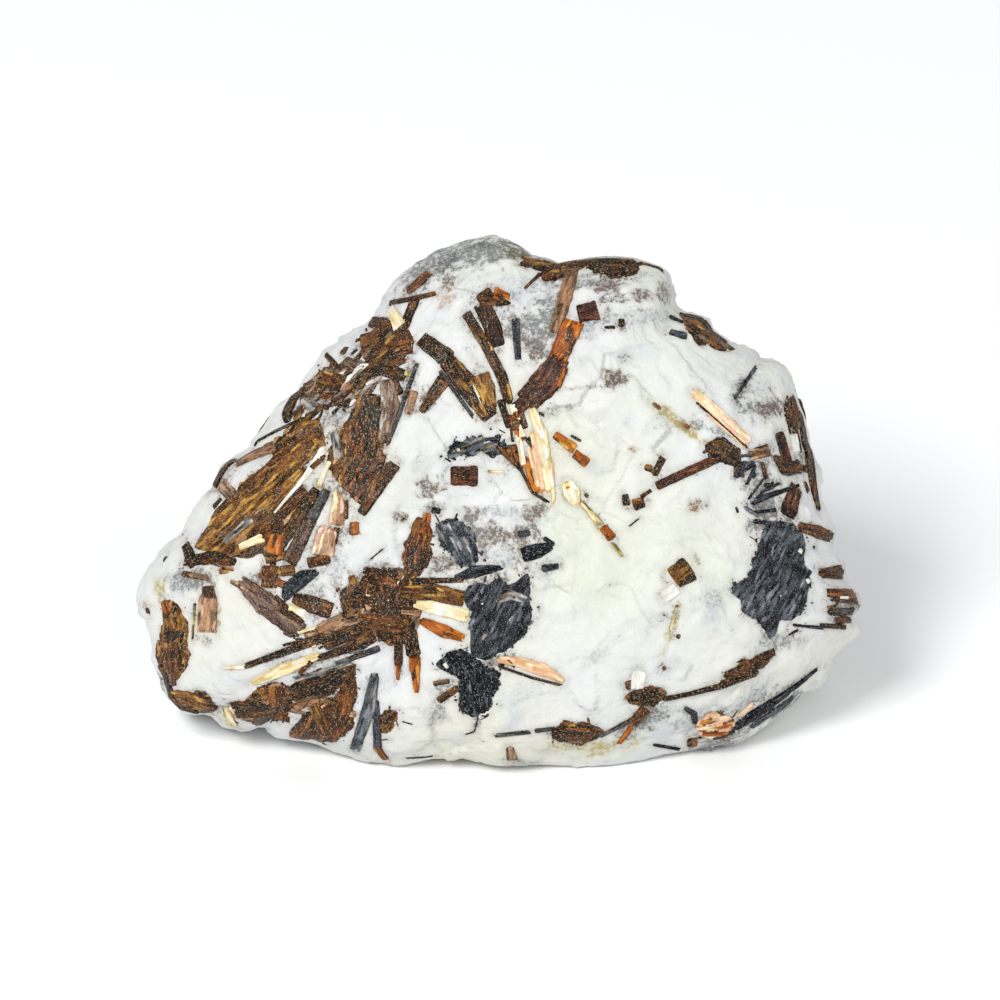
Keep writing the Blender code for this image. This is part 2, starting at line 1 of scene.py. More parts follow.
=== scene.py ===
# %% [markdown]
# # A hand specimen of astrophyllite
# The real thing is a lump of white feldspar, broken from a larger rock, with sprays of bronze mica-like
# blades (astrophyllite) and black needles and masses (aegirine) grown through it. The plain solids give the
# lump and the larger crystals. This script draws the looks over them: a rough skin for the feldspar, and
# for each crystal its blades, or the crowded bits and fibres that it is made of.

# %% Load the solids
import itertools
import math

import bpy
import numpy as np
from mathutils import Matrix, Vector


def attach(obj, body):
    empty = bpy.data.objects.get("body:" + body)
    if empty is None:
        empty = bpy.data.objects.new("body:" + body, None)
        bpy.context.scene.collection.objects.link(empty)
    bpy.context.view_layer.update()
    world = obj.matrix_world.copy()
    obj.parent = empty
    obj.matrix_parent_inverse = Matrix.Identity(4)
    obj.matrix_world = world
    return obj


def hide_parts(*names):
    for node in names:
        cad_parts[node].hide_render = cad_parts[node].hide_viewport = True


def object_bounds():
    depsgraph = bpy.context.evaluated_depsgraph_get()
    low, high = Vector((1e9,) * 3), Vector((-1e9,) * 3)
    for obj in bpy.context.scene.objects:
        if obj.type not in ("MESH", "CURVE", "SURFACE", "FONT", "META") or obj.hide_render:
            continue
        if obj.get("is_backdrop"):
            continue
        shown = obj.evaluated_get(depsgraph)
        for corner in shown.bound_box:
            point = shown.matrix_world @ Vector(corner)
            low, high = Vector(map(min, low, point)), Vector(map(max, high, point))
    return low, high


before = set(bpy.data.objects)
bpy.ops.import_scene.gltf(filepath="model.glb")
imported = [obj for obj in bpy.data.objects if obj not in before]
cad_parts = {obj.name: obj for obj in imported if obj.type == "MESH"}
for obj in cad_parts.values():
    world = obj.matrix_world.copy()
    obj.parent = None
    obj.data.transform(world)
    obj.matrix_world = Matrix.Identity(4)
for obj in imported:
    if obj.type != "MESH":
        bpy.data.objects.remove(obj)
solid_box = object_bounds()
print("solids:", len(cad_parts))

# %% [markdown]
# ## The shape of the lump
# The lump is told on its showy face: u runs right, v runs up, w comes out towards the viewer, in
# millimetres. An outline, a few tilted planes and some hollows say what the face is like. One
# could sculpt this, but a formula can be asked for its height anywhere, so every crystal can be laid on the
# stone with no searching.

# %% Outline, planes and breaks
MM = 0.001
FACE_LEAN = math.radians(30)
FACE_CENTRE = (0.06, -10.69, 32.9)  # in the part's frame, in millimetres
# (u, v), anticlockwise from the right.
OUTLINE = [
    (40.5, 0.0), (40.2, 3.5), (38.8, 7.5), (38.3, 10.5), (37.3, 13.6), (36.6, 15.8), (35.4, 17.0),
    (33.6, 17.6), (32.7, 17.4), (32.2, 18.4), (31.3, 19.0), (29.8, 19.3), (28.5, 20.3), (26.9, 21.4),
    (26.3, 22.7), (25.4, 23.2), (23.2, 23.6), (22.3, 24.4), (21.9, 25.5), (21.7, 27.2), (21.3, 28.6),
    (20.3, 29.5), (17.5, 30.3), (15.0, 30.6), (11.2, 30.4), (7.4, 29.8), (5.8, 30.4), (4.0, 30.7),
    (2.6, 32.0), (1.0, 32.9), (-0.7, 33.3), (-2.9, 32.9), (-6.0, 32.2), (-8.5, 31.4), (-10.8, 29.8),
    (-12.9, 28.0), (-14.2, 26.0), (-15.5, 23.8), (-17.0, 22.0), (-20.3, 20.0), (-22.3, 18.9), (-23.1, 17.6),
    (-25.5, 13.6), (-28.0, 11.6), (-30.2, 8.6), (-31.5, 6.5), (-35.3, 4.0), (-36.5, 1.5), (-38.3, -0.5),
    (-40.2, -4.2), (-42.0, -5.8), (-44.0, -8.2), (-45.6, -10.5), (-46.0, -12.6), (-44.9, -15.0),
    (-43.8, -18.2), (-43.9, -20.0), (-42.6, -22.5), (-41.9, -25.0), (-40.5, -26.5), (-39.0, -27.1),
    (-36.6, -27.1), (-35.0, -28.7), (-32.8, -29.2), (-29.8, -28.5), (-28.5, -29.8), (-23.5, -30.7),
    (-20.0, -31.8), (-15.0, -32.9), (-12.5, -33.2), (-8.7, -32.6), (-4.5, -32.2), (-1.5, -33.1),
    (6.0, -33.4), (13.0, -33.6), (18.9, -32.6), (23.5, -31.7), (27.0, -31.4), (29.5, -31.0), (31.5, -29.9),
    (34.5, -27.5), (36.9, -25.6), (38.0, -24.4), (40.4, -23.1), (41.4, -21.9), (41.6, -19.9), (42.6, -18.7),
    (45.0, -17.0), (45.2, -16.0), (44.4, -15.2), (45.4, -13.8), (45.6, -12.8), (44.8, -11.4), (43.6, -10.7),
    (43.6, -8.2), (42.1, -6.6), (42.4, -4.3), (41.2, -1.5),
]  # fmt: skip
# (bearing, w): how deep the outline lies behind the face.
RIM_DEPTH = [
    (0, -13), (35, -11), (80, -9), (115, -12), (150, -9), (190, -14), (215, -12), (270, -7), (310, -12),
]  # fmt: skip
RIM_SQUARENESS, BACK_SQUARENESS = 4.0, 3.0
BACK_DEPTH, BACK_SLOPE = -40.0, 0.5  # w of the back's middle, and how it rises with v
# (u, v) of a place on each plane, the bearing that it falls to, its slope, and its height at the place.
FACE_PLANES = [
    (0.0, 0.0, 100, 0.03, 1.2), (14.0, -27.5, -71, 0.60, 1.6), (33.0, -25.0, -59, 1.00, 0.0),
    (-24.0, 2.0, 131, 0.26, 1.4), (-36.0, -16.0, 185, 0.32, 0.6), (-4.0, 28.2, 106, 0.95, 0.8),
    (33.0, 8.0, 15, 0.34, 0.9), (-26.0, -27.0, 250, 0.40, 1.0),
]  # fmt: skip
FACE_BLEND = 0.7  # how softly the planes meet
# (u, v, half width, half height, depth)
HOLLOWS = [
    (-2.0, 2.6, 6.5, 4.2, 1.5), (30.6, 15.2, 1.6, 2.4, 1.3), (-29.5, -2.6, 3.6, 2.6, 1.0),
    (4.6, 25.0, 5.0, 3.4, 0.8), (-22.0, 6.5, 2.2, 2.6, 0.8), (33.0, -18.0, 5.0, 2.2, 0.9),
]  # fmt: skip
RIPPLE, CHOP = 0.5, 0.3  # heights of the broad and the short waves
# The way that each broken plane faces, and how far it is from the middle of the breaks.
BREAKS = [
    ((0.55, 0.30, -0.78), 24.5), ((-0.62, 0.20, -0.76), 26.5), ((0.05, 0.72, -0.69), 26.0),
    ((-0.20, -0.30, -0.93), 20.5), ((0.90, -0.10, -0.42), 42.0), ((-0.93, -0.25, -0.27), 44.5),
    ((0.35, 0.85, -0.40), 31.5), ((-0.60, 0.72, -0.35), 27.5),
]  # fmt: skip
BREAK_CENTRE, BREAK_HARDNESS = (0.0, -2.0, -16.0), 0.9  # the share taken off of what lies past a break
print("outline points:", len(OUTLINE), "planes:", len(FACE_PLANES), "breaks:", len(BREAKS))


# %% The stone as a formula
def outline_radius(bearing):
    """Distance from the middle of the face to the outline, read between its points."""
    points = np.array(OUTLINE)
    at = np.arctan2(points[:, 1], points[:, 0])
    order = np.argsort(at)
    return np.interp(bearing, at[order], np.hypot(*points[order].T), period=2 * math.pi)


def rim_depth(bearing):
    """Depth of the outline behind the face, read between the bearings that it is given at."""
    at, depth = np.array(RIM_DEPTH, float).T
    return np.interp(np.degrees(bearing), at, depth, period=360)


def face_depth(u, v):
    """The lowest of the face's planes, joined by a soft minimum, less its bell-shaped hollows."""
    falls = []
    for pu, pv, bearing, slope, height in FACE_PLANES:
        ahead = (u - pu) * math.cos(math.radians(bearing)) + (v - pv) * math.sin(math.radians(bearing))
        falls.append(height - slope * ahead)
    lowest = -FACE_BLEND * np.log(np.sum(np.exp(-np.array(falls) / FACE_BLEND), axis=0))
    for hu, hv, across, up, depth in HOLLOWS:
        lowest = lowest - depth * np.exp(-(((u - hu) / across) ** 2) - ((v - hv) / up) ** 2)
    return lowest


def waves(p):
    """Sines of a few fixed directions through space: three broad ones and two short ones."""
    u, v, w = np.moveaxis(p, -1, 0)
    broad = (
        np.sin(0.37 * u + 0.21 * v + 1.3)
        + np.sin(0.17 * u - 0.43 * v + 0.29 * w + 4.1)
        + np.sin(-0.31 * u + 0.13 * v + 0.41 * w + 2.2)
    )
    short = np.sin(0.83 * u - 0.36 * v + 0.9) + np.sin(0.28 * u + 0.79 * v - 0.55 * w)
    return RIPPLE * broad / 3 + CHOP * short / 2


def stone(directions):
    """Points of the smooth lump for directions out of its middle: the outline's radius times the sine of
    the angle from the view axis, and a depth that runs from face to rim to back as a rounded box does."""
    a, b, c = np.moveaxis(directions / np.linalg.norm(directions, axis=-1)[..., None], -1, 0)
    out = np.hypot(a, b).clip(0, 1)
    bearing = np.arctan2(b, a)
    reach = outline_radius(bearing) * out
    u, v = reach * np.cos(bearing), reach * np.sin(bearing)
    rim = rim_depth(bearing)
    ahead = np.sqrt(1 - out**RIM_SQUARENESS)
    behind = np.sqrt(1 - out**BACK_SQUARENESS)
    w = np.where(
        c >= 0,
        rim + (face_depth(u, v) - rim) * ahead,
        rim - (rim - BACK_DEPTH - BACK_SLOPE * v) * behind,
    )
    p = np.stack([u, v, w], axis=-1)
    p[..., 2] += waves(p) * ahead
    for direction, distance in BREAKS:
        normal = np.array(direction) / np.linalg.norm(direction)
        over = (p - BREAK_CENTRE) @ normal - distance
        p -= BREAK_HARDNESS * over.clip(min=0)[..., None] * normal
    return p


ASKEW = (0.31, 0.87, 0.38)  # any way that no point's direction has


def outward(directions, step=0.01):
    """Unit normals of the smooth lump: the cross product of two short steps along it."""
    side = np.cross(directions, ASKEW)
    side /= np.linalg.norm(side, axis=-1)[..., None]
    up = np.cross(directions, side)
    along = stone(directions + step * side) - stone(directions - step * side)
    across = stone(directions + step * up) - stone(directions - step * up)
    normal = np.cross(along, across)
    return normal / np.linalg.norm(normal, axis=-1)[..., None]


RIM_SHARE = 0.985  # how near the outline a direction for the face may come


def in_front(u, v):
    """The direction out of the middle that meets the showy face at u, v: its sine is the share of the way
    to the outline."""
    u, v = np.asarray(u, float), np.asarray(v, float)
    bearing = np.arctan2(v, u)
    out = np.minimum(np.hypot(u, v) / outline_radius(bearing), RIM_SHARE)
    return np.stack([out * np.cos(bearing), out * np.sin(bearing), np.sqrt(1 - out**2)], axis=-1)


def to_frame(p):
    """Millimetres on the leaning face to metres in the part's frame."""
    u, v, w = np.moveaxis(np.asarray(p, float), -1, 0)
    y = v * math.sin(FACE_LEAN) - w * math.cos(FACE_LEAN)
    z = v * math.cos(FACE_LEAN) + w * math.sin(FACE_LEAN)
    return (np.stack([u, y, z], axis=-1) + FACE_CENTRE) * MM


print("the middle of the face is at", to_frame(stone(in_front(0, 0))).round(4))


# %% [markdown]
# ## Noise with no pictures
# Broken rock is made of flat chips that meet in sharp steps, with grit over them. Two kinds of noise give
# that. Shards split space into cells round scattered points, as cleavage splits the feldspar, and a swell
# adds up sines, as worn grain does. Both are worked out for all points at once.


# %% Shards and swells
def chance(key, salt=0.0):
    """Numbers between 0 and 1 that look random: the fraction left of a large sine of the key."""
    return np.modf(np.abs(np.sin(np.asarray(key, float) * 12.9898 + salt * 78.233 + 0.37)) * 43758.5453)[0]


CELL_WAYS = ((1.0, 5.7, 3.1), (2.3, 1.9, 7.3), (6.1, 2.9, 1.7))  # each turns a cell into one number


def cell_chance(cell, salt):
    """Three such numbers for each cell of a lattice."""
    return np.stack([chance(cell @ way, salt) for way in CELL_WAYS], axis=-1)


def shards(p, size, salt):
    """For each point, its nearest scattered point: three random numbers of it, the way from it, and how far
    off the border to the next one is, as a share of the cell's size."""
    home = np.floor(p / size)
    best, second = np.full((2, *p.shape[:-1]), np.inf)
    kind, way = np.zeros(p.shape), np.zeros(p.shape)
    for step in itertools.product((-1, 0, 1), repeat=3):
        cell = home + step
        off = p - (cell + cell_chance(cell, salt)) * size
        gap = np.linalg.norm(off, axis=-1)
        nearer = gap < best
        second = np.where(nearer, best, np.minimum(second, gap))
        best = np.where(nearer, gap, best)
        kind[nearer] = cell_chance(cell[nearer], salt + 1)
        way[nearer] = off[nearer]
    return kind, way, (second - best) / size


WAVE_RANGE, WAVE_GAIN = (0.7, 1.5), 1.8  # of the waves' frequencies, and what their mean is raised by


def swell(p, wavelength, salt, count=10):
    """Smooth noise, mostly from -1 to 1: sines of about one wavelength in scattered directions, added up."""
    rng = np.random.default_rng(salt)
    ways = rng.normal(size=(count, 3))
    length = np.linalg.norm(ways, axis=1)[:, None]
    ways *= rng.uniform(*WAVE_RANGE, (count, 1)) * 2 * math.pi / wavelength / length
    return np.sin(p @ ways.T + rng.uniform(0, 2 * math.pi, count)).mean(axis=-1) * WAVE_GAIN


# %% [markdown]
# ## Where the crystals are
# Each crystal is one blade or a few, and each blade a line over the face with a width at each bend. The
# kind says its colour. They are read off the real stone, to about half a millimetre, and grouped by
# the solid that they stand in for. Short laths too small for a solid are listed apart.

# %% Bronze blades by their solid
# (kind, [(u, v, width), ...])
BLADES = {
    "left_sheaf": [
        ("rust", [(-22.4, 9.0, 1.2), (-28.0, 4.9, 1.8), (-35.4, -2.2, 1.7)]),
        ("gold", [(-23.0, 7.6, 2.0), (-29.6, 1.8, 2.8), (-37.2, -5.2, 2.5)]),
        ("gold", [(-24.3, 5.8, 1.0), (-31.0, -0.7, 1.5), (-35.0, -4.8, 1.0)]),
        ("tan", [(-33.2, 4.4, 1.2), (-30.5, 5.8, 1.9), (-28.0, 6.8, 1.5)]),
        ("dark", [(-33.6, 5.2, 1.4), (-36.4, 1.6, 1.4)]),
        ("taupe", [(-35.2, 2.1, 1.8), (-33.0, 0.0, 1.5)]),
        ("dark", [(-39.6, -5.4, 1.2), (-38.3, -8.2, 1.6)]),
        ("dark", [(-39.8, -7.7, 1.2), (-36.0, -7.2, 1.9), (-33.0, -7.8, 0.9)]),
        ("gold", [(-24.7, 3.8, 1.0), (-31.4, -2.8, 1.4)]),
        ("silver", [(-28.0, 0.8, 0.7), (-31.6, -2.8, 1.4), (-34.6, -5.4, 0.9)]),
        ("pearl", [(-21.8, 6.8, 1.1), (-24.6, 2.6, 0.7), (-28.4, -1.8, 0.3)]),
        ("rust", [(-24.3, 1.3, 1.1), (-30.0, -5.0, 1.5)]),
        ("dark", [(-22.9, 1.4, 1.4), (-25.8, -3.0, 1.9), (-29.0, -7.5, 1.9)]),
        ("amber", [(-27.6, -4.2, 2.2), (-28.4, -7.0, 2.2)]),
        ("cream", [(-32.8, -6.0, 0.8), (-29.4, -4.6, 1.4)]),
        ("gold", [(-28.7, -8.2, 2.2), (-28.9, -11.0, 2.0)]),
        ("gold", [(-27.5, -8.9, 1.3), (-25.6, -8.7, 1.4)]),
        ("black", [(-31.5, 6.8, 0.35), (-28.0, 8.7, 0.45), (-24.5, 10.3, 0.5)]),
    ],
    "inner_bundle": [
        ("dark", [(-15.8, 13.3, 1.8), (-16.6, 9.5, 3.0), (-16.6, 6.0, 2.6), (-16.2, 4.0, 2.0)]),
        ("dark", [(-13.2, 4.6, 1.8), (-17.4, -1.8, 1.2)]),
        ("rust", [(-14.8, 5.2, 1.6), (-18.3, 0.1, 1.3)]),
        ("dark", [(-16.8, 5.6, 1.8), (-19.6, 2.0, 1.2)]),
        ("silver", [(-20.6, 8.6, 1.5), (-20.0, 5.0, 1.7)]),
        ("rust", [(-18.6, 9.4, 1.5), (-18.4, 5.2, 1.7)]),
        ("pewter", [(-14.2, 15.2, 1.6), (-13.7, 11.6, 2.5), (-14.6, 6.8, 1.5)]),
        ("tan", [(-10.7, 13.7, 1.1), (-11.5, 10.7, 1.0)]),
        ("slate", [(-10.3, 17.2, 0.5), (-12.9, 10.0, 0.6), (-14.0, 7.0, 0.4)]),
        ("gold", [(-22.3, 5.2, 0.8), (-23.8, 3.8, 0.7)]),
        ("dark", [(-13.6, 15.2, 1.3), (-12.4, 13.2, 1.0)]),
        ("cream", [(-21.2, 5.0, 0.6), (-22.7, 1.6, 0.7)]),
        ("gold", [(-25.0, 9.3, 1.1), (-22.6, 9.6, 1.2)]),
        ("amber", [(-18.2, -2.7, 1.2), (-18.2, -4.4, 1.2)]),
    ],
    "crest_cluster": [
        ("rust", [(-11.7, 26.1, 1.2), (-10.0, 27.5, 1.8), (-8.8, 28.6, 1.3)]),
        ("dark", [(-14.0, 24.7, 0.7), (-11.0, 25.2, 0.7), (-8.0, 25.9, 0.6)]),
        ("dark", [(-10.5, 25.4, 1.3), (-12.5, 20.6, 1.6)]),
        ("rust", [(-16.4, 22.4, 1.4), (-14.2, 22.0, 2.0)]),
        ("rust", [(-17.6, 19.8, 2.6), (-14.8, 20.8, 2.4)]),
        ("rust", [(-14.2, 19.0, 2.4), (-10.9, 19.3, 2.0)]),
        ("umber", [(-18.6, 14.0, 1.6), (-15.6, 16.4, 2.3), (-12.0, 18.4, 2.6)]),
        ("dark", [(-14.8, 16.6, 2.2), (-11.8, 15.4, 1.5)]),
        ("straw", [(-12.1, 15.9, 0.7), (-11.3, 15.8, 0.7)]),
        ("dark", [(-22.0, 18.4, 0.7), (-20.3, 16.6, 0.7)]),
        ("pewter", [(-19.9, 17.4, 1.9), (-18.1, 16.6, 1.9)]),
        ("gold", [(-22.8, 15.4, 2.0), (-19.4, 14.4, 2.4)]),
        ("rust", [(-22.8, 13.0, 0.8), (-20.5, 13.0, 1.1)]),
        ("dark", [(-24.2, 14.0, 1.2), (-25.9, 12.7, 1.6), (-26.7, 11.0, 1.7), (-26.6, 9.8, 1.1)]),
        ("silver", [(-25.0, 12.6, 1.0), (-22.9, 11.3, 1.3)]),
        ("rust", [(-24.5, 10.3, 0.5), (-18.0, 14.0, 0.8)]),
        ("cream", [(-13.8, 24.3, 0.9), (-12.4, 21.5, 2.1)]),
    ],
    "star": [
        ("dark", [(-18.8, -12.0, 2.6), (-14.0, -13.0, 3.4), (-10.4, -13.4, 2.4)]),
        ("rust", [(-17.2, -9.2, 1.8), (-12.6, -10.2, 2.6)]),
        ("dark", [(-14.6, -9.0, 2.4), (-13.8, -17.6, 3.0)]),
        ("rust", [(-18.0, -15.0, 1.6), (-11.2, -15.6, 2.4)]),
        ("amber", [(-9.0, -1.6, 0.8), (-9.6, -4.6, 1.6)]),
        ("dark", [(-10.6, -5.6, 2.2), (-10.8, -9.2, 1.6)]),
        ("dark", [(-15.6, -17.0, 1.5), (-19.0, -18.5, 1.3), (-23.0, -19.9, 0.7)]),
        ("slate", [(-15.0, -18.5, 0.9), (-20.6, -20.5, 0.6)]),
        ("tan", [(-23.0, -16.3, 1.2), (-19.4, -14.7, 1.5)]),
        ("gold", [(-12.6, -11.5, 1.4), (-8.4, -11.5, 2.2), (-4.4, -12.4, 1.9)]),
        ("dark", [(-11.4, -10.1, 0.8), (-4.2, -10.0, 0.6)]),
        ("cream", [(-11.0, -12.9, 0.8), (-8.4, -13.4, 1.7), (-3.8, -14.6, 1.5)]),
        ("amber", [(-10.2, -14.9, 0.8), (-7.2, -16.3, 1.7), (-4.4, -17.3, 0.9)]),
        ("rust", [(-12.7, -16.6, 1.2), (-12.7, -20.8, 1.0)]),
        ("amber", [(-12.7, -20.4, 0.7), (-12.8, -22.6, 0.4)]),
        ("dark", [(-11.6, -15.0, 1.9), (-10.7, -19.8, 1.8)]),
        ("amber", [(-10.7, -19.6, 1.7), (-10.4, -24.2, 0.5)]),
        ("dark", [(-16.0, -15.4, 1.4), (-22.0, -17.2, 1.2), (-32.2, -20.9, 0.7)]),
        ("cream", [(-31.8, -20.9, 0.5), (-34.5, -21.0, 0.3)]),
        ("dark", [(-16.4, -16.2, 1.2), (-22.0, -18.4, 0.9)]),
        ("cream", [(-22.4, -19.3, 0.8), (-27.0, -21.2, 1.6), (-31.2, -23.0, 0.9)]),
        ("rust", [(-23.4, -20.0, 0.6), (-25.2, -21.8, 0.5)]),
        ("taupe", [(-15.8, -14.2, 1.4), (-20.0, -15.6, 1.3), (-24.5, -17.0, 0.8)]),
        ("silver", [(-18.2, -20.3, 0.6), (-26.0, -22.5, 0.7)]),
        ("gold", [(-18.6, -9.4, 0.9), (-18.2, -10.8, 1.0)]),
        ("tan", [(-12.6, -13.9, 0.7), (-9.8, -14.2, 1.0)]),
    ],
    "violet_blade": [
        ("violet", [(-32.6, -10.0, 1.5), (-29.6, -12.8, 3.0), (-24.8, -16.6, 2.4)]),
        ("dark", [(-28.2, -12.0, 0.7), (-24.6, -15.5, 0.8)]),
        ("slate", [(-27.2, -16.5, 0.4), (-25.9, -17.1, 0.4)]),
    ],
    "small_block": [
        ("rust", [(-25.9, -12.2, 1.3), (-23.6, -13.0, 2.2), (-21.0, -13.9, 2.1)]),
        ("cream", [(-26.6, -13.3, 0.9), (-24.2, -14.3, 1.1)]),
    ],
    "brown_tablet": [
        ("taupe", [(-36.6, -10.7, 1.8), (-36.4, -12.6, 2.1)]),
        ("tan", [(-36.5, -12.0, 2.6), (-36.8, -16.6, 2.9)]),
        ("olive", [(-38.2, -12.8, 0.4), (-38.6, -17.8, 0.4)]),
    ],
    "pink_tablets": [
        ("flesh", [(-20.5, 1.2, 0.6), (-20.1, -0.8, 1.9), (-20.5, -3.2, 2.1)]),
        ("flesh", [(-21.4, -3.4, 2.3), (-21.9, -5.2, 2.8), (-22.2, -7.1, 2.7)]),
        ("rust", [(-20.4, -3.4, 0.7), (-20.6, -5.6, 0.5)]),
        ("rust", [(-24.1, -7.9, 1.4), (-21.2, -7.3, 1.1)]),
        ("rust", [(-19.2, 0.1, 0.5), (-19.2, -2.5, 0.5)]),
    ],
    "grey_blade": [
        ("slate", [(-21.6, 1.3, 1.2), (-23.8, -2.7, 1.6)]),
        ("violet", [(-23.6, -2.3, 1.7), (-26.4, -7.9, 2.0)]),
    ],
    "lower_band": [
        ("amber", [(-42.3, -12.6, 1.2), (-41.6, -14.3, 1.3)]),
        ("gold", [(-41.4, -14.6, 1.9), (-41.0, -16.4, 1.9)]),
        ("black", [(-40.9, -16.4, 1.9), (-40.5, -17.6, 1.9)]),
        ("rust", [(-41.2, -18.1, 2.8), (-40.9, -20.2, 2.8), (-41.0, -21.8, 1.3)]),
        ("taupe", [(-41.4, -21.6, 1.3), (-41.0, -23.4, 1.4)]),
        ("black", [(-43.2, -18.4, 0.4), (-42.8, -21.4, 0.6)]),
        ("dark", [(-43.2, -20.6, 1.0), (-42.4, -23.4, 1.4), (-40.6, -25.8, 1.3), (-37.6, -26.7, 0.8)]),
        ("gold", [(-41.4, -24.6, 1.4), (-39.0, -25.2, 2.8), (-36.5, -25.8, 1.9)]),
        ("rust", [(-37.0, -26.0, 1.2), (-35.4, -26.0, 0.9)]),
        ("dark", [(-33.6, -26.4, 2.2), (-31.0, -26.2, 3.0), (-28.8, -26.4, 2.0)]),
        ("rust", [(-28.0, -23.0, 2.4), (-27.4, -27.8, 2.4)]),
        ("dark", [(-26.4, -24.0, 1.9), (-22.4, -23.3, 2.3), (-18.2, -21.1, 1.5)]),
        ("rust", [(-18.6, -21.9, 1.3), (-19.6, -25.8, 2.5), (-21.3, -30.2, 1.5)]),
        ("gold", [(-23.4, -25.4, 1.6), (-21.7, -29.4, 1.5)]),
        ("dark", [(-23.6, -26.6, 1.2), (-24.8, -29.2, 2.6)]),
        ("straw", [(-34.6, -26.2, 1.0), (-33.2, -28.6, 1.1)]),
    ],
    "upper_fan": [
        ("maroon", [(-2.7, 24.8, 1.6), (-0.8, 25.9, 2.2)]),
        ("amber", [(-0.9, 25.8, 2.1), (1.2, 25.2, 1.3)]),
        ("garnet", [(-2.4, 24.7, 2.1), (-1.0, 21.8, 2.3), (-0.3, 19.2, 1.9)]),
        ("dark", [(-2.6, 24.5, 0.7), (1.4, 24.6, 0.5)]),
        ("umber", [(-4.3, 23.5, 1.2), (-1.7, 19.2, 1.3), (0.2, 15.5, 1.4), (1.2, 12.0, 1.2)]),
        ("garnet", [(7.6, 17.9, 2.4), (5.7, 14.8, 3.8), (3.1, 12.1, 3.2)]),
        ("amber", [(9.3, 22.5, 2.7), (8.2, 20.0, 2.5), (7.1, 17.4, 2.3)]),
        ("garnet", [(4.6, 13.6, 1.9), (1.9, 11.2, 1.7)]),
        ("amber", [(8.3, 16.6, 0.6), (7.2, 14.0, 0.7)]),
        ("umber", [(-6.9, 17.7, 2.2), (-3.9, 14.1, 2.9), (-1.1, 10.3, 2.2)]),
        ("dark", [(-10.0, 20.3, 1.9), (-6.3, 17.5, 2.4)]),
        ("slate", [(-7.6, 16.2, 0.5), (-3.2, 10.2, 0.5)]),
        ("dark", [(-6.8, 15.3, 1.9), (-8.2, 13.4, 1.5), (-9.9, 10.9, 0.8)]),
        ("gold", [(-2.4, 15.8, 2.1), (-1.7, 13.8, 2.2), (-1.2, 11.4, 1.5)]),
        ("cream", [(-3.4, 14.6, 0.4), (-2.0, 11.4, 0.5)]),
        ("dark", [(0.0, 12.6, 0.9), (1.2, 9.0, 0.9)]),
        ("gold", [(1.3, 9.5, 1.5), (2.7, 9.3, 1.4)]),
        ("cream", [(2.2, 8.4, 0.8), (3.0, 4.2, 0.7)]),
        ("cream", [(3.9, 11.6, 0.9), (5.2, 8.2, 1.5), (6.3, 1.0, 1.2)]),
        ("peach", [(4.2, 8.7, 1.0), (5.0, 4.5, 1.5), (5.6, 0.8, 1.0)]),
        ("amber", [(3.2, 5.4, 0.9), (4.6, 0.8, 1.2)]),
        ("peach", [(3.6, 6.6, 0.6), (4.9, 1.4, 0.8)]),
        ("peach", [(6.4, 5.2, 0.6), (6.7, -0.7, 0.5)]),
        # This dark line along the ledge's edge is a painted shadow of the ledge.
        ("dark", [(1.5, 6.0, 0.3), (3.0, 3.0, 0.4), (4.0, 1.0, 0.4), (6.2, -0.4, 0.4)]),
        ("rust", [(1.4, 6.9, 1.7), (2.0, 4.4, 0.8)]),
        ("slate", [(4.7, 11.0, 0.4), (5.6, 10.5, 0.4)]),
    ],
    "red_tablet": [("maroon", [(-6.2, 3.0, 2.3), (-2.7, 3.0, 2.6)])],
    "crest_blades": [
        ("gold", [(2.6, 29.6, 1.0), (7.4, 29.4, 1.1), (10.6, 29.8, 0.8)]),
        ("dark", [(7.6, 29.5, 0.9), (12.0, 30.0, 1.0), (17.3, 30.0, 1.0)]),
        ("dark", [(13.0, 29.2, 1.2), (16.8, 29.0, 1.3)]),
        ("rust", [(5.2, 27.8, 0.9), (8.0, 28.2, 0.8)]),
        ("dark", [(5.2, 28.5, 0.5), (3.0, 26.4, 0.3)]),
        ("tan", [(9.2, 29.2, 1.4), (8.5, 26.5, 1.8), (7.6, 23.6, 1.8), (6.6, 20.9, 1.2)]),
        ("dark", [(17.5, 30.2, 0.3), (21.0, 29.1, 0.35)]),
    ],
    "square_tablet": [("maroon", [(9.7, 23.3, 2.5), (12.3, 23.8, 2.6)])],
    "amber_chip": [
        ("honey", [(6.8, 8.2, 1.0), (9.4, 6.3, 1.4)]),
        ("amber", [(9.2, 5.9, 1.1), (11.0, 4.5, 1.3)]),
        ("slate", [(8.8, 8.1, 0.35), (10.2, 7.3, 0.35)]),
    ],
    "peach_blade": [
        ("peach", [(24.2, 13.6, 1.2), (27.2, 10.6, 1.9), (31.2, 7.0, 1.8)]),
        # The thin dark line along its lower side is a painted shadow under the blade.
        ("dark", [(24.5, 12.3, 0.3), (31.0, 6.4, 0.35)]),
    ],
    "dark_knot": [
        ("char", [(25.7, 6.3, 1.3), (27.6, 6.7, 2.5), (29.8, 5.3, 1.8)]),
        ("char", [(27.4, 5.4, 1.0), (29.9, 4.4, 0.9)]),
    ],
    "long_blade": [
        ("maroon", [(27.4, 5.3, 1.1), (23.6, 3.6, 1.2), (19.5, 1.7, 1.1)]),
        ("amber", [(27.4, 5.6, 0.6), (26.2, 5.0, 0.5)]),
    ],
    "curled_blade": [
        ("dark", [(19.0, 1.3, 0.5), (17.5, 0.3, 0.5)]),
        ("dark", [(15.6, 0.8, 0.8), (15.8, -0.7, 0.9)]),
        ("rust", [(16.6, -0.7, 1.4), (18.1, -0.2, 1.3)]),
    ],
    "olive_tablet": [("taupe", [(31.2, 5.6, 1.3), (33.9, 6.3, 1.7)])],
    "chevron": [
        ("garnet", [(35.0, 8.5, 1.5), (35.7, 6.0, 1.8), (36.2, 4.0, 1.9)]),
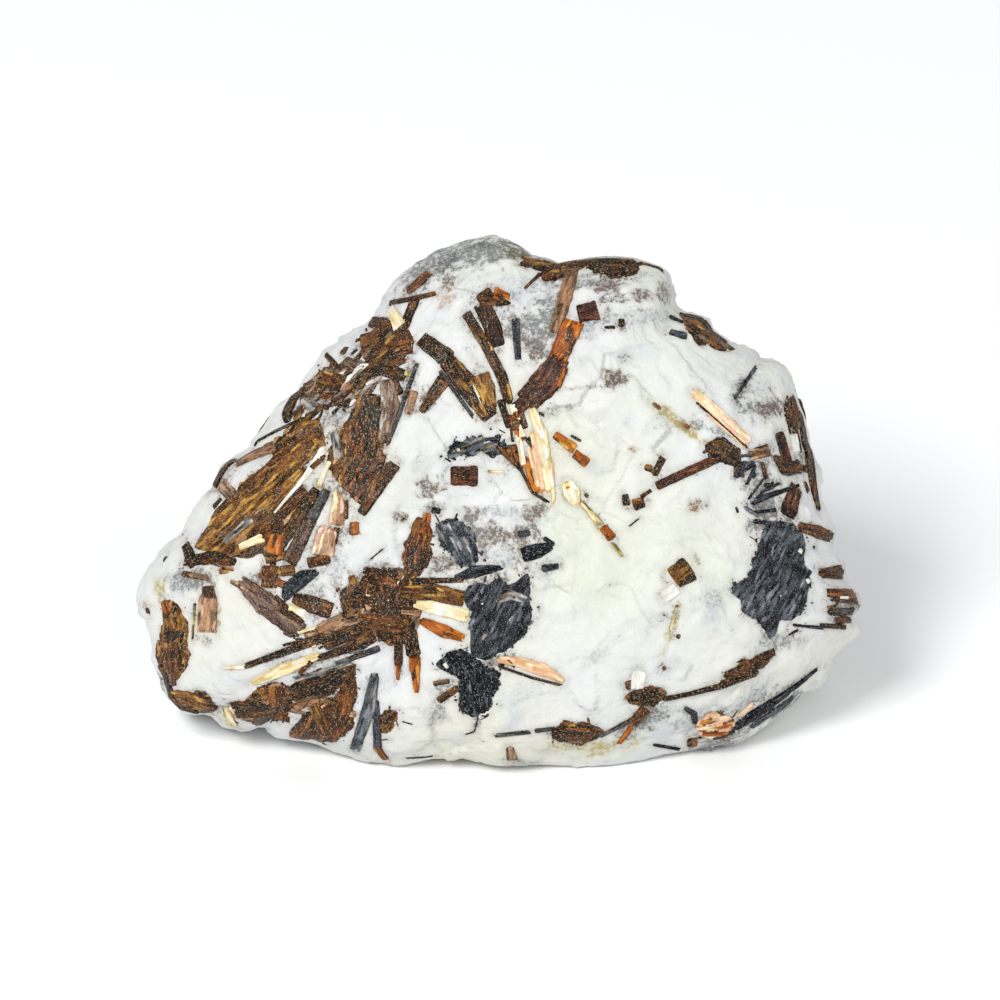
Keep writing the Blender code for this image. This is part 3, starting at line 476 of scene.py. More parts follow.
        ("char", [(34.4, 5.6, 0.9), (35.6, 3.9, 1.9), (38.1, 4.2, 1.6)]),
    ],
    "rim_blade": [
        ("rust", [(36.8, 12.4, 1.2), (37.2, 10.8, 1.3), (36.9, 9.4, 1.6)]),
        ("dark", [
            (37.7, 11.4, 1.1), (38.4, 8.2, 1.7), (38.9, 5.0, 1.9), (39.5, 1.0, 1.5), (40.0, -1.4, 0.8),
        ]),
    ],
    "slanted_tablet": [("garnet", [(37.3, 1.8, 2.2), (36.6, -0.2, 2.5), (36.0, -2.0, 2.3)])],
    "golden_bar": [
        ("rust", [(37.4, -3.3, 1.2), (40.0, -4.0, 1.7), (42.0, -4.8, 1.4)]),
        ("gold", [(38.4, -3.2, 0.3), (41.4, -4.3, 0.3)]),
    ],
    "upper_bar": [
        ("rust", [(40.0, -9.1, 0.9), (43.6, -8.8, 1.6)]),
        ("dark", [(40.2, -9.6, 0.4), (43.5, -9.8, 0.4)]),
    ],
    "lobe_blade": [
        ("rust", [(41.1, -11.6, 1.0), (45.1, -11.9, 1.6)]),
        ("dark", [(41.4, -12.4, 0.5), (45.1, -12.9, 0.6)]),
    ],
    "lobe_seam": [
        ("black", [(41.1, -14.1, 0.8), (44.6, -14.0, 1.1)]),
        ("rust", [(42.2, -15.1, 0.8), (45.0, -15.1, 1.0)]),
        ("dark", [(40.0, -15.7, 0.6), (43.6, -16.0, 0.6)]),
    ],
    "gold_tablet": [
        ("gold", [(21.5, -9.7, 2.5), (23.7, -8.1, 2.6)]),
        ("dark", [(22.3, -10.6, 0.7), (24.4, -9.4, 1.1)]),
        ("pearl", [(22.3, -10.9, 1.4), (20.4, -12.2, 1.7)]),
    ],
    "oval_flake": [
        ("cream", [(8.3, 2.4, 1.2), (8.9, 1.0, 2.3), (9.6, -0.7, 1.0)]),
        ("amber", [(8.4, 1.9, 0.5), (8.6, 1.2, 0.5)]),
        ("straw", [(10.0, -0.2, 0.6), (12.6, -3.0, 0.8)]),
    ],
    "amber_tablet": [
        ("amber", [(12.8, -3.3, 1.1), (14.1, -4.9, 1.3)]),
        ("straw", [(14.0, -5.4, 0.5), (15.4, -7.1, 0.4)]),
    ],
    "copper_blade": [
        ("peach", [(-0.4, -19.9, 0.8), (2.0, -20.2, 1.3), (5.4, -21.2, 1.7), (8.2, -22.7, 0.5)]),
        ("dark", [(-0.3, -20.7, 0.35), (4.0, -22.2, 0.35), (7.9, -23.2, 0.3)]),
        ("amber", [(0.6, -19.6, 0.5), (2.0, -20.9, 0.5)]),
    ],
    "ledge_seam": [
        ("slate", [(-0.8, -29.5, 0.6), (4.0, -29.0, 0.6)]),
        ("slate", [(4.3, -28.9, 0.6), (6.8, -28.6, 0.5)]),
        ("dark", [(6.5, -29.2, 1.5), (9.4, -29.2, 2.4), (12.4, -29.1, 1.2)]),
        ("gold", [(8.0, -28.6, 0.6), (11.4, -28.7, 0.6)]),
        ("slate", [(12.3, -29.7, 0.6), (16.2, -27.7, 0.7)]),
        ("dark", [(16.0, -24.8, 1.0), (18.2, -24.4, 1.9), (20.4, -24.0, 1.4)]),
        ("rust", [(18.3, -26.1, 1.6), (16.4, -28.2, 1.5)]),
        ("amber", [(16.5, -28.4, 0.8), (14.8, -30.7, 0.6)]),
        ("dark", [(20.0, -25.0, 0.7), (23.5, -24.3, 0.6), (28.0, -23.2, 0.8), (32.5, -21.6, 0.6)]),
        ("rust", [(28.2, -22.1, 1.2), (31.2, -21.0, 1.8), (34.2, -19.1, 0.8)]),
    ],
    "copper_patch": [
        ("peach", [(25.6, -28.4, 1.0), (28.2, -27.8, 1.3)]),
        ("amber", [(25.2, -29.3, 0.9), (28.8, -29.4, 0.8)]),
    ],
    "low_cluster": [
        ("dark", [(-14.6, -28.2, 1.2), (-13.4, -26.8, 1.3)]),
        ("violet", [(-14.9, -28.9, 0.5), (-13.9, -28.7, 0.5)]),
    ],
}  # fmt: skip
print("bronze crystals:", len(BLADES), "with blades:", sum(map(len, BLADES.values())))

# %% [markdown]
# Where blades crowd, the bits between them merge to a mosaic. Such a patch is told by its outline, the
# bearing of its bits and the mix of kinds that it is made of.

# %% Patches of crowded bronze bits by their solid
# (mix, bearing, middle, outline)
PATCHES = {
    "left_sheaf": [
        ("mosaic", 44, (-30.2, -0.6), [
            (-25.2, 4.6), (-24.6, 1.8), (-26.6, -2.8), (-29.0, -6.2), (-31.2, -7.2), (-35.0, -6.8),
            (-38.4, -6.0), (-36.6, -3.2), (-33.2, 0.4), (-29.8, 3.6), (-27.4, 5.4),
        ]),
        ("mosaic", 44, (-26.5, 6.6), [
            (-22.4, 9.8), (-21.8, 7.6), (-23.6, 5.0), (-26.0, 3.6), (-29.4, 3.6), (-28.6, 5.4),
            (-27.2, 8.0), (-25.0, 10.0),
        ]),
    ],
    "inner_bundle": [
        ("mosaic", 75, (-18.6, 6.6), [
            (-15.6, 10.0), (-14.6, 6.0), (-15.6, 2.4), (-17.4, -0.8), (-18.8, 0.6), (-20.4, 2.6),
            (-21.4, 4.6), (-20.6, 7.0), (-19.6, 9.0), (-18.6, 10.8), (-17.4, 12.4),
        ]),
    ],
    "crest_cluster": [
        ("umber", 40, (-13.8, 19.6), [
            (-10.9, 20.0), (-11.2, 18.6), (-12.6, 17.6), (-14.6, 17.0), (-16.4, 16.6), (-17.4, 18.4),
            (-16.8, 20.6), (-15.2, 21.8), (-13.2, 22.0), (-11.8, 21.6),
        ]),
        ("crest", 40, (-19.6, 14.4), [
            (-14.6, 15.8), (-15.8, 13.8), (-17.6, 12.2), (-20.4, 11.8), (-23.0, 11.6), (-24.8, 12.2),
            (-24.4, 14.0), (-23.0, 15.6), (-21.4, 16.8), (-19.4, 17.2), (-16.8, 17.2),
        ]),
    ],
    "star": [
        ("umber", 70, (-13.8, -13.0), [
            (-9.8, -12.0), (-10.0, -15.0), (-11.0, -17.3), (-13.5, -18.0), (-16.0, -16.8), (-18.4, -15.5),
            (-19.8, -14.4), (-20.0, -11.6), (-18.0, -10.4), (-15.4, -9.0), (-13.0, -8.4), (-11.2, -8.6),
        ]),
        ("rust", 80, (-10.3, -6.4), [
            (-8.9, -3.0), (-8.8, -5.6), (-9.2, -8.2), (-10.2, -9.4), (-11.6, -9.0), (-11.8, -6.2),
            (-11.2, -4.2), (-10.2, -2.0),
        ]),
    ],
    "copper_patch": [
        ("copper", 10, (26.9, -28.2), [
            (24.5, -28.6), (25.6, -27.2), (27.2, -26.8), (28.8, -27.2), (29.6, -28.2), (28.6, -29.4),
            (26.8, -29.8), (25.2, -29.5),
        ]),
    ],
    "lower_band": [
        ("mosaic", 80, (-41.2, -18.6), [
            (-39.9, -14.0), (-39.3, -17.6), (-39.0, -19.4), (-39.9, -21.8), (-41.2, -23.2), (-42.8, -22.0),
            (-43.5, -19.8), (-42.8, -17.4), (-42.2, -15.6), (-42.4, -12.8), (-41.2, -12.4),
        ]),
        ("umber", 10, (-37.8, -25.3), [
            (-35.8, -25.6), (-35.8, -26.5), (-36.6, -26.7), (-39.0, -26.8), (-41.2, -25.6), (-41.0, -24.2),
            (-38.8, -24.4), (-36.4, -25.2),
        ]),
        ("mosaic", 15, (-29.6, -26.0), [
            (-26.2, -24.0), (-26.6, -26.8), (-28.6, -27.8), (-31.2, -28.0), (-32.8, -27.2), (-32.6, -26.2),
            (-31.4, -25.2), (-29.2, -23.2), (-27.6, -22.8),
        ]),
        ("umber", 20, (-22.6, -23.2), [
            (-17.9, -20.5), (-18.4, -22.2), (-20.6, -23.6), (-23.2, -24.8), (-26.0, -25.4), (-26.8, -23.8),
            (-24.4, -22.4), (-21.2, -21.4),
        ]),
        ("rust", 60, (-21.4, -28.0), [
            (-18.0, -22.2), (-18.4, -26.0), (-20.0, -29.8), (-21.8, -30.4), (-23.8, -30.0), (-26.5, -30.2),
            (-25.6, -28.2), (-23.6, -26.8), (-21.2, -25.4), (-19.6, -23.4),
        ]),
    ],
    "crest_blades": [
        ("umber", 5, (6.6, 29.4), [
            (2.8, 30.6), (5.4, 30.4), (7.4, 29.9), (10.6, 30.4), (10.6, 29.3), (8.6, 28.7), (7.4, 27.8),
            (5.6, 27.6), (5.2, 28.8), (3.4, 29.6),
        ]),
        ("char", 5, (15.0, 29.2), [
            (17.3, 29.9), (17.2, 28.5), (15.4, 28.1), (13.2, 28.3), (11.2, 29.2), (11.4, 30.2),
            (14.2, 30.5), (16.6, 30.4),
        ]),
    ],
    "rim_blade": [
        ("umber", 100, (37.2, 11.0), [
            (37.2, 13.2), (38.0, 11.4), (38.4, 9.4), (37.3, 8.9), (36.3, 9.4), (35.8, 11.0), (36.2, 12.6),
        ]),
    ],
    "dark_knot": [
        ("char", 30, (28.2, 6.0), [
            (30.0, 5.0), (29.6, 4.2), (28.8, 4.4), (27.8, 4.9), (26.6, 4.9), (25.9, 5.6), (26.2, 6.7),
            (27.0, 7.5), (27.8, 7.6), (28.6, 6.8), (29.4, 5.9),
        ]),
    ],
    "ledge_seam": [
        ("umber", 33, (31.2, -20.8), [
            (34.4, -18.8), (33.6, -20.0), (32.4, -21.3), (30.4, -22.3), (28.1, -22.8), (29.6, -21.5),
            (31.4, -20.3), (32.8, -19.2),
        ]),
        ("umber", 5, (18.4, -24.6), [
            (21.0, -24.0), (20.2, -25.0), (18.0, -25.4), (16.2, -25.4), (15.6, -24.6), (17.2, -23.8),
            (19.2, -23.5),
        ]),
        ("umber", 0, (9.4, -29.2), [
            (13.0, -29.0), (11.0, -30.2), (8.8, -30.3), (6.4, -29.6), (6.8, -28.6), (9.6, -28.1),
            (11.8, -28.3),
        ]),
    ],
    "low_cluster": [
        ("mosaic", 20, (-14.2, -27.8), [
            (-12.9, -26.4), (-13.2, -27.8), (-14.0, -29.0), (-15.2, -29.2), (-15.6, -28.2), (-14.9, -27.0),
        ]),
    ],
}  # fmt: skip
LOOSE_PATCH = ("umber", -35, (25.6, 21.6), [
    (29.7, 19.0), (28.0, 18.6), (26.0, 19.4), (24.2, 20.6), (23.2, 22.0), (22.6, 23.4), (24.4, 23.4),
    (25.8, 23.0), (26.7, 21.6), (28.4, 20.2),
])  # fmt: skip
print("crowded patches:", sum(map(len, PATCHES.values())) + 1)

# %% [markdown]
# The black mineral is the same story in darker colours: single splinters, and three broad masses felted
# from fibres. A mass is told as a patch is.

# %% Black splinters and masses by their solid
SPLINTERS = {
    "dark_hook": [
        ("slate", [(-22.6, -8.9, 0.6), (-24.6, -9.7, 2.0), (-26.4, -11.2, 1.8), (-27.1, -12.7, 0.6)]),
    ],
    "grey_needles": [
        ("ash", [(-15.6, -21.6, 1.0), (-16.4, -26.0, 1.7), (-18.3, -31.6, 1.3)]),
        ("silver", [(-15.4, -22.2, 0.5), (-16.0, -28.0, 0.5)]),
        ("slate", [(-15.6, -25.0, 0.9), (-15.3, -31.4, 1.1)]),
        ("gold", [(-15.6, -30.8, 1.0), (-14.2, -32.6, 0.9)]),
    ],
    # The ragged arch is partly black crystals, partly a painted shadow of the ledge over the hollow.
    "ragged_arch": [
        ("black", [(-6.5, 5.6, 0.5), (-5.5, 7.0, 0.8), (-4.0, 6.8, 0.6)]),
        ("black", [(-4.4, 6.6, 0.5), (-2.0, 7.4, 0.7), (-0.8, 7.5, 0.8), (0.2, 6.4, 0.8)]),
        ("gold", [(-1.4, 7.4, 0.6), (1.0, 5.6, 0.9), (3.0, 3.5, 0.6)]),
    ],
    "upright_needle": [("slate", [(1.9, 22.8, 1.0), (2.3, 17.2, 0.8)])],
    "long_splinter": [("black", [(31.4, -0.6, 0.5), (33.2, 0.4, 0.8), (37.7, 1.9, 0.4)])],
    "edge_seam": [
        ("black", [(29.3, -28.7, 1.3), (31.6, -27.2, 2.0), (34.5, -25.3, 1.8)]),
        ("black", [(34.2, -25.5, 1.5), (37.2, -23.3, 0.8), (40.2, -20.9, 0.35)]),
        ("ash", [(31.4, -28.6, 0.9), (34.4, -26.6, 1.2), (37.2, -24.9, 1.0)]),
        ("slate", [(26.6, -30.0, 0.4), (29.6, -29.0, 0.6)]),
    ],
    "flat_splinter": [("black", [(-5.7, -9.8, 0.7), (-3.0, -8.9, 1.6), (0.5, -8.4, 0.5)])],
    "striped_mass": [
        ("slate", [(-7.4, -3.4, 1.6), (-5.4, -3.4, 2.2)]),
        ("slate", [(-5.4, -3.6, 2.4), (-4.2, -6.0, 2.7), (-3.5, -8.0, 1.8)]),
    ],
    "small_brick": [
        ("black", [(2.7, -6.9, 1.9), (4.8, -6.3, 1.9), (6.6, -5.7, 0.8)]),
        ("slate", [(5.2, -8.6, 0.9), (7.4, -8.2, 0.7)]),
    ],
}  # fmt: skip
MASSES = {
    "middle_mass": ("felt", 65, (-0.2, -14.2), [
        (3.4, -16.0), (3.8, -14.0), (3.7, -12.0), (3.6, -8.9), (2.2, -10.0), (1.2, -10.3), (-1.4, -10.3),
        (-3.0, -10.7), (-4.7, -11.9), (-4.3, -13.4), (-3.3, -14.4), (-3.7, -16.4), (-3.5, -19.4),
        (-1.6, -19.8), (0.4, -19.0), (2.0, -18.0),
    ]),
    "lower_mass": ("soot", 100, (-2.8, -22.9), [
        (-0.4, -23.2), (0.1, -21.8), (-1.0, -20.8), (-2.2, -20.4), (-3.3, -19.6), (-4.8, -18.5),
        (-6.2, -19.3), (-8.2, -20.5), (-7.0, -21.4), (-5.4, -22.0), (-4.9, -24.0), (-4.8, -26.2),
        (-2.9, -27.0), (-1.5, -26.4), (-1.0, -24.6),
    ]),
    "right_mass": ("fibre", 60, (34.8, -9.0), [
        (39.0, -10.0), (38.0, -8.0), (38.4, -6.0), (38.2, -4.6), (37.0, -3.3), (35.4, -2.8), (34.2, -2.4),
        (33.2, -3.2), (32.5, -5.0), (32.0, -7.0), (31.3, -8.6), (30.9, -9.6), (29.0, -10.9), (29.2, -11.6),
        (30.2, -12.4), (30.8, -14.2), (32.2, -15.0), (33.2, -16.6), (33.8, -17.6), (34.6, -16.9),
        (34.9, -15.4), (36.6, -14.9), (38.4, -13.0),
    ]),
}  # fmt: skip
BLACK_PATCHES = {
    # The arch's mound is partly black crystals, partly a painted shadow of the ledge.
    "ragged_arch": ("ashen", 20, (-2.8, 6.7), [
        (0.4, 7.0), (0.5, 6.1), (-0.8, 6.5), (-2.6, 6.4), (-4.4, 5.9), (-6.3, 5.1), (-6.6, 5.7),
        (-5.4, 7.0), (-3.6, 7.3), (-1.4, 7.6),
    ]),
    "striped_mass": ("hatch", -60, (-5.2, -5.4), [
        (-3.0, -7.8), (-4.6, -8.6), (-6.2, -6.6), (-7.8, -4.2), (-7.8, -2.8), (-5.6, -2.4), (-4.0, -3.4),
        (-3.2, -5.6),
    ]),
}  # fmt: skip
print("black splinters:", len(SPLINTERS), "masses:", len(MASSES))

# %% [markdown]
# The smallest laths have no solid. They lie in the skin of the stone as they do on the real one, so they
# are drawn as pieces of their own.

# %% Loose laths
LOOSE = [
    ("dark", [(13.0, 21.6, 0.4), (14.5, 21.6, 0.5)]), ("dark", [(15.2, 21.6, 0.8), (15.2, 22.8, 0.8)]),
    ("dark", [(22.6, 23.4, 1.0), (25.0, 22.8, 1.5), (26.8, 21.2, 1.6), (28.7, 19.6, 1.2)]),
    ("gold", [(23.4, 22.2, 0.7), (26.0, 20.6, 0.7)]), ("straw", [(28.2, 18.9, 0.7), (28.9, 18.7, 0.6)]),
    ("slate", [(21.3, 23.0, 0.8), (23.0, 22.3, 0.7)]), ("slate", [(21.2, 21.1, 1.0), (23.5, 20.5, 1.1)]),
    ("slate", [(32.3, 17.0, 0.5), (29.2, 12.5, 0.4)]), ("straw", [(-1.6, 3.6, 0.35), (0.5, 3.5, 0.35)]),
    ("gold", [(19.0, 12.2, 0.5), (20.2, 11.3, 0.5)]), ("gold", [(22.9, 9.4, 0.5), (23.8, 9.0, 0.5)]),
    ("slate", [(29.4, 2.8, 0.6), (30.2, 3.8, 1.0), (32.0, 4.7, 0.7)]),
    ("rust", [(20.4, 5.4, 1.0), (19.2, 3.0, 0.9)]), ("gold", [(18.0, 4.1, 0.9), (19.1, 3.9, 0.9)]),
    ("dark", [(17.5, -2.2, 0.2), (16.0, -3.4, 0.2)]), ("straw", [(21.9, -14.4, 0.3), (21.3, -16.4, 0.4)]),
    ("gold", [(22.0, -16.9, 0.6), (22.6, -17.2, 0.6)]), ("gold", [(20.3, -20.9, 0.6), (20.8, -21.2, 0.6)]),
    ("black", [(33.0, 1.8, 0.5), (33.9, 1.9, 0.6)]), ("dark", [(39.0, -5.9, 0.5), (39.7, -6.0, 0.5)]),
    ("black", [(36.2, -15.6, 0.4), (40.8, -16.1, 0.5)]),
    ("black", [(36.0, -17.0, 0.4), (37.5, -16.2, 0.35)]),
    ("pearl", [(17.4, -21.4, 1.6), (17.2, -23.8, 2.0)]), ("rust", [(15.7, -23.2, 1.2), (16.5, -23.1, 1.3)]),
    ("slate", [(23.1, -26.0, 0.6), (24.3, -26.8, 0.9), (24.5, -28.2, 0.7)]),
    ("rust", [(24.1, -30.0, 1.4), (24.2, -31.2, 1.2)]), ("slate", [(19.2, -30.7, 0.6), (22.8, -31.4, 0.6)]),
    ("peach", [(29.8, -27.3, 0.8), (31.8, -25.5, 0.8)]), ("rust", [(-5.2, -23.4, 0.9), (-7.8, -25.2, 1.0)]),
    ("taupe", [(-6.2, -22.6, 0.6), (-8.4, -23.0, 0.7)]), ("taupe", [(1.2, -30.9, 1.0), (1.6, -32.8, 1.4)]),
    ("slate", [(-12.0, -32.4, 0.35), (-8.3, -32.2, 0.35)]),
    ("dark", [(-12.4, -27.7, 0.2), (-10.8, -28.1, 0.2)]),
    ("dark", [(-14.5, -6.0, 0.2), (-16.3, -7.5, 0.2)]),
    ("black", [(-2.7, -27.0, 0.2), (-3.2, -29.0, 0.2), (-4.5, -29.4, 0.2)]),
    ("black", [(29.5, -0.8, 0.3), (29.8, -1.7, 0.3)]), ("rust", [(-42.4, -7.8, 0.5), (-41.8, -7.0, 0.4)]),
    ("rust", [(-40.4, -4.6, 0.5), (-40.0, -4.2, 0.5)]), ("taupe", [(-40.0, -9.2, 0.8), (-36.4, -9.8, 0.7)]),
    ("dark", [(15.4, -28.0, 0.4), (16.6, -27.4, 0.5)]),
    ("dark", [(-44.4, -13.5, 0.8), (-44.2, -14.4, 0.9)]), ("slate", [(-8.6, -1.2, 0.8), (-7.4, -1.4, 0.8)]),
    ("slate", [(2.2, -4.3, 0.8), (3.8, -4.1, 0.9)]), ("slate", [(6.9, -5.6, 0.5), (5.4, -4.7, 0.6)]),
    ("dark", [(10.6, 0.9, 0.4), (11.0, 0.3, 0.5)]), ("black", [(31.0, 0.0, 0.3), (33.2, 2.9, 0.35)]),
    ("black", [(31.8, -0.1, 0.35), (34.4, 2.4, 0.3)]), ("slate", [(32.6, 0.9, 0.5), (35.2, 2.2, 0.4)]),
    ("black", [(31.2, -1.6, 0.4), (34.8, -1.2, 0.5)]), ("slate", [(31.6, -2.6, 0.6), (34.4, -3.0, 0.5)]),
    ("ash", [(30.6, -0.9, 0.5), (32.4, -2.0, 0.5)]), ("dark", [(20.4, -14.2, 0.25), (20.6, -14.6, 0.25)]),
    ("gold", [(22.2, -13.0, 0.3), (22.0, -13.5, 0.3)]),
]  # fmt: skip
# White feldspar that shows through the black masses.
INCLUSIONS = [
    ("silver", [(-0.7, -12.8, 0.4), (1.4, -11.9, 1.4), (3.5, -12.5, 0.8)]),
    ("pearl", [(-7.1, -20.9, 0.7), (-6.4, -20.4, 0.7)]), ("pearl", [(37.3, -6.9, 0.7), (37.7, -6.1, 0.5)]),
    ("pearl", [(38.2, -10.4, 0.6), (38.8, -10.0, 0.5)]), ("pearl", [(36.7, 8.4, 1.2), (37.2, 5.8, 1.2)]),
    ("pearl", [(1.0, -15.2, 0.4), (1.8, -14.4, 0.5)]), ("pearl", [(-2.6, -13.0, 0.4), (-1.9, -12.8, 0.4)]),
    ("pearl", [(34.6, -12.2, 0.4), (35.2, -11.8, 0.3)]),
    ("silver", [(-2.4, -17.6, 0.6), (-1.6, -16.6, 0.6)]),
    ("pearl", [(42.4, -12.2, 0.3), (43.8, -12.3, 0.4)]), ("pearl", [(-3.5, 6.7, 0.4), (-2.5, 7.0, 0.5)]),
    ("pearl", [(-5.5, 6.1, 0.4), (-4.8, 6.4, 0.3)]),
]  # fmt: skip
# Thickets of small laths: (u, v of the two ends of a strip, its half width, bearing, scatter, count, kinds).
THICKETS = [
    ((-25.5, 10.0), (-13.0, 22.0), 2.2, 42, 28, 54, ("dark", "rust", "gold", "rust", "pewter", "dark")),
    ((-17.0, -13.0), (-11.0, -12.6), 4.0, 20, 90, 50, ("dark", "rust", "cream", "dark", "tan")),
    ((-33.0, -26.0), (-18.5, -25.6), 1.3, 20, 35, 44, ("dark", "tan", "gold", "dark", "peach")),
    ((-35.0, -3.5), (-22.5, 6.8), 3.0, 44, 8, 44, ("gold", "dark", "taupe", "silver", "dark")),
    ((-20.0, 8.5), (-15.5, 1.0), 2.4, 72, 25, 30, ("dark", "taupe", "rust", "slate")),
    ((-36.0, -7.5), (-26.0, -9.5), 1.6, 160, 40, 9, ("taupe", "gold", "rust")),
    ((-41.8, -14.0), (-41.0, -23.5), 1.1, 80, 40, 18, ("gold", "dark", "rust")),
    ((-26.0, -17.5), (-17.0, -19.0), 1.6, 18, 10, 16, ("dark", "silver", "cream", "dark")),
    ((36.8, 12.0), (38.6, 1.0), 0.7, 100, 20, 8, ("rust", "dark", "dark")),
    # These black laths along the arch are partly a painted shadow of the ledge.
    ((-6.0, 6.4), (1.0, 7.0), 0.7, 30, 70, 18, ("black", "slate")),
    ((26.0, 6.4), (33.0, 3.0), 1.2, 40, 60, 12, ("black", "slate", "dark")),
    ((1.0, 12.0), (4.0, 6.0), 1.4, 110, 20, 14, ("dark", "amber", "cream")),
    ((3.0, 29.6), (17.0, 29.8), 0.6, 5, 30, 18, ("dark", "rust", "gold")),
    ((42.5, -11.5), (43.5, -16.0), 1.0, 10, 30, 4, ("taupe", "rust")),
]  # fmt: skip
print("loose laths:", len(LOOSE), "in thickets:", sum(row[5] for row in THICKETS))

# %% [markdown]
# ## Kinds and bits
# Astrophyllite splits like mica: a blade is a stack of thin sheets, cracked across, so that it shows as
# bits drawn out along it, each at its own height and in its own brown. One could model each sheet, but from
# a step away what shows is the top alone. So a small function says for every spot on a blade which bit it
# lies in, and the bit's height and colour come from that.

# %% Colours of the kinds
# Dark, middle and light, as screen values.
PALETTE = {
    "dark": ((10, 5, 2), (42, 22, 10), (122, 78, 40)),
    "rust": ((24, 10, 4), (84, 41, 14), (168, 102, 40)),
    "amber": ((92, 40, 6), (172, 88, 14), (232, 164, 66)),
    "gold": ((62, 36, 10), (128, 84, 28), (214, 168, 80)),
    "peach": ((214, 162, 124), (238, 204, 170), (250, 236, 214)),
    "cream": ((200, 174, 116), (234, 220, 174), (252, 244, 222)),
    "straw": ((166, 150, 88), (212, 202, 144), (236, 230, 190)),
    "honey": ((150, 88, 16), (210, 152, 48), (242, 208, 124)),
    "olive": ((60, 54, 32), (112, 104, 64), (190, 182, 124)),
    "taupe": ((60, 44, 34), (108, 84, 66), (164, 142, 120)),
    "tan": ((108, 74, 50), (166, 124, 92), (220, 182, 150)),
    "violet": ((40, 28, 28), (82, 60, 58), (138, 114, 106)),
    "silver": ((92, 88, 84), (150, 146, 140), (212, 210, 204)),
    "slate": ((22, 24, 27), (52, 56, 61), (100, 106, 112)),
    "ash": ((44, 47, 51), (90, 95, 101), (148, 154, 160)),
    "maroon": ((26, 9, 5), (70, 31, 20), (140, 84, 54)),
    "garnet": ((14, 5, 3), (46, 19, 12), (112, 58, 36)),
    "flesh": ((146, 108, 88), (194, 156, 134), (232, 206, 188)),
    "black": ((5, 5, 6), (16, 16, 18), (44, 45, 49)),
    "pearl": ((206, 203, 190), (229, 228, 220), (244, 244, 240)),
}
# A crystal's bits aren't all of its own kind: each takes one of these.
MIXES = {
    "dark": "dark dark rust dark black dark", "rust": "rust rust dark rust rust dark rust",
    "amber": "amber amber rust amber amber", "gold": "gold gold rust gold gold rust dark gold",
    "peach": "peach peach peach cream peach", "cream": "cream cream pearl cream",
    "straw": "straw cream straw olive straw", "honey": "honey honey amber gold honey",
    "olive": "olive dark olive straw", "taupe": "taupe taupe tan taupe dark",
    "tan": "tan tan tan taupe tan", "violet": "violet violet dark violet taupe",
    "silver": "silver taupe silver silver slate", "slate": "slate slate black slate slate",
    "black": "black black slate black", "pearl": "pearl",
    "copper": "peach amber peach rust cream gold peach", "ashen": "ash slate ash black olive silver",
    "pewter": "taupe silver taupe violet taupe", "ash": "ash slate ash ash",
    "maroon": "maroon maroon dark maroon rust maroon", "garnet": "garnet garnet dark garnet maroon",
    "flesh": "flesh flesh tan flesh cream", "mosaic": "gold rust gold tan dark gold rust gold black",
    "umber": "dark rust dark black rust dark taupe gold",
    "crest": "silver rust tan pearl gold silver taupe rust silver dark", "char": "dark black dark dark",
    "felt": "slate black slate ash slate black", "fibre": "slate ash slate black slate ash black",
    "soot": "black black slate black black", "hatch": "slate silver ash slate ash",
}  # fmt: skip
CLEAN = {"garnet": 0.35, "amber": 0.55, "maroon": 0.7}  # the share of dust left on kinds that have little


def linear(colour):
    """Screen values from 0 to 255 as the linear light that a shader reads."""
    share = np.asarray(colour, float) / 255
    return np.where(share <= 0.04045, share / 12.92, ((share + 0.055) / 1.055) ** 2.4)


TINTS = {kind: linear(colours) for kind, colours in PALETTE.items()}
print("kinds:", len(TINTS), "mixes:", len(MIXES))


def shade(kind, tone):
    """The kind's dark, middle and light colours, mixed in that order as tone goes from 0 to 1. The fourth
    value says how much dust and lines show on it: less on light kinds, which are clean faces."""
    dark, middle, light = TINTS[kind]
    low, high = (2 * tone).clip(0, 1)[..., None], (2 * tone - 1).clip(0, 1)[..., None]
    colour = dark + (middle - dark) * low + (light - middle) * high
    dust = CLEAN.get(kind, 1) * (1 - 1.1 * middle.mean())
    return np.concatenate([colour, np.full(tone.shape + (1,), dust)], axis=-1)


def blend(mix, tone, pick):
    """Colours of bits: each takes one of the kinds of its mix, by its pick between 0 and 1."""
    kinds = MIXES[mix].split()
    which = (pick * len(kinds)).astype(int).clip(0, len(kinds) - 1)
    shades = np.stack([shade(kind, tone) for kind in kinds])
    return np.take_along_axis(shades, which[None, ..., None], axis=0)[0]


# %% Bits of a crystal
DULLEST, SHINE = 0.04, 0.72  # tone of the dullest bit, and what chance adds to it
GLINT, GLINT_FROM = 0.4, 0.96  # what a glint adds, and the chance from which a bit glints
BORDER, BORDER_SHADE = 0.14, 0.16  # width of the dark border, as a share of a bit, and how dark it is


def bits_of(along, across, salt, size, stretch):
    """Height share, tone and pick for places on a crystal: it is split in shards drawn out along it, darker
    at their borders, and a few of them glint."""
    across = np.broadcast_to(across, np.broadcast(along, across).shape)
    p = np.stack([along / stretch + 0 * across, across, np.full(across.shape, 0.37 * salt)], axis=-1)
    kind, _, border = shards(p, size, salt % 7)
    level, shine, pick = np.moveaxis(kind, -1, 0)
    tone = DULLEST + SHINE * shine + GLINT * (chance(pick, 3.0) > GLINT_FROM)
    return level, tone * (1 - BORDER_SHADE + BORDER_SHADE * (border / BORDER).clip(0, 1)), pick


# %% [markdown]
# ## Closed shells
# Every piece here is the same kind of surface: rings of points, each ring joined to the next, with a small
# face on the first and the last. A strip, a mound and the lump itself are all such shells, so one function
# turns any grid of points into a closed mesh that faces outwards.


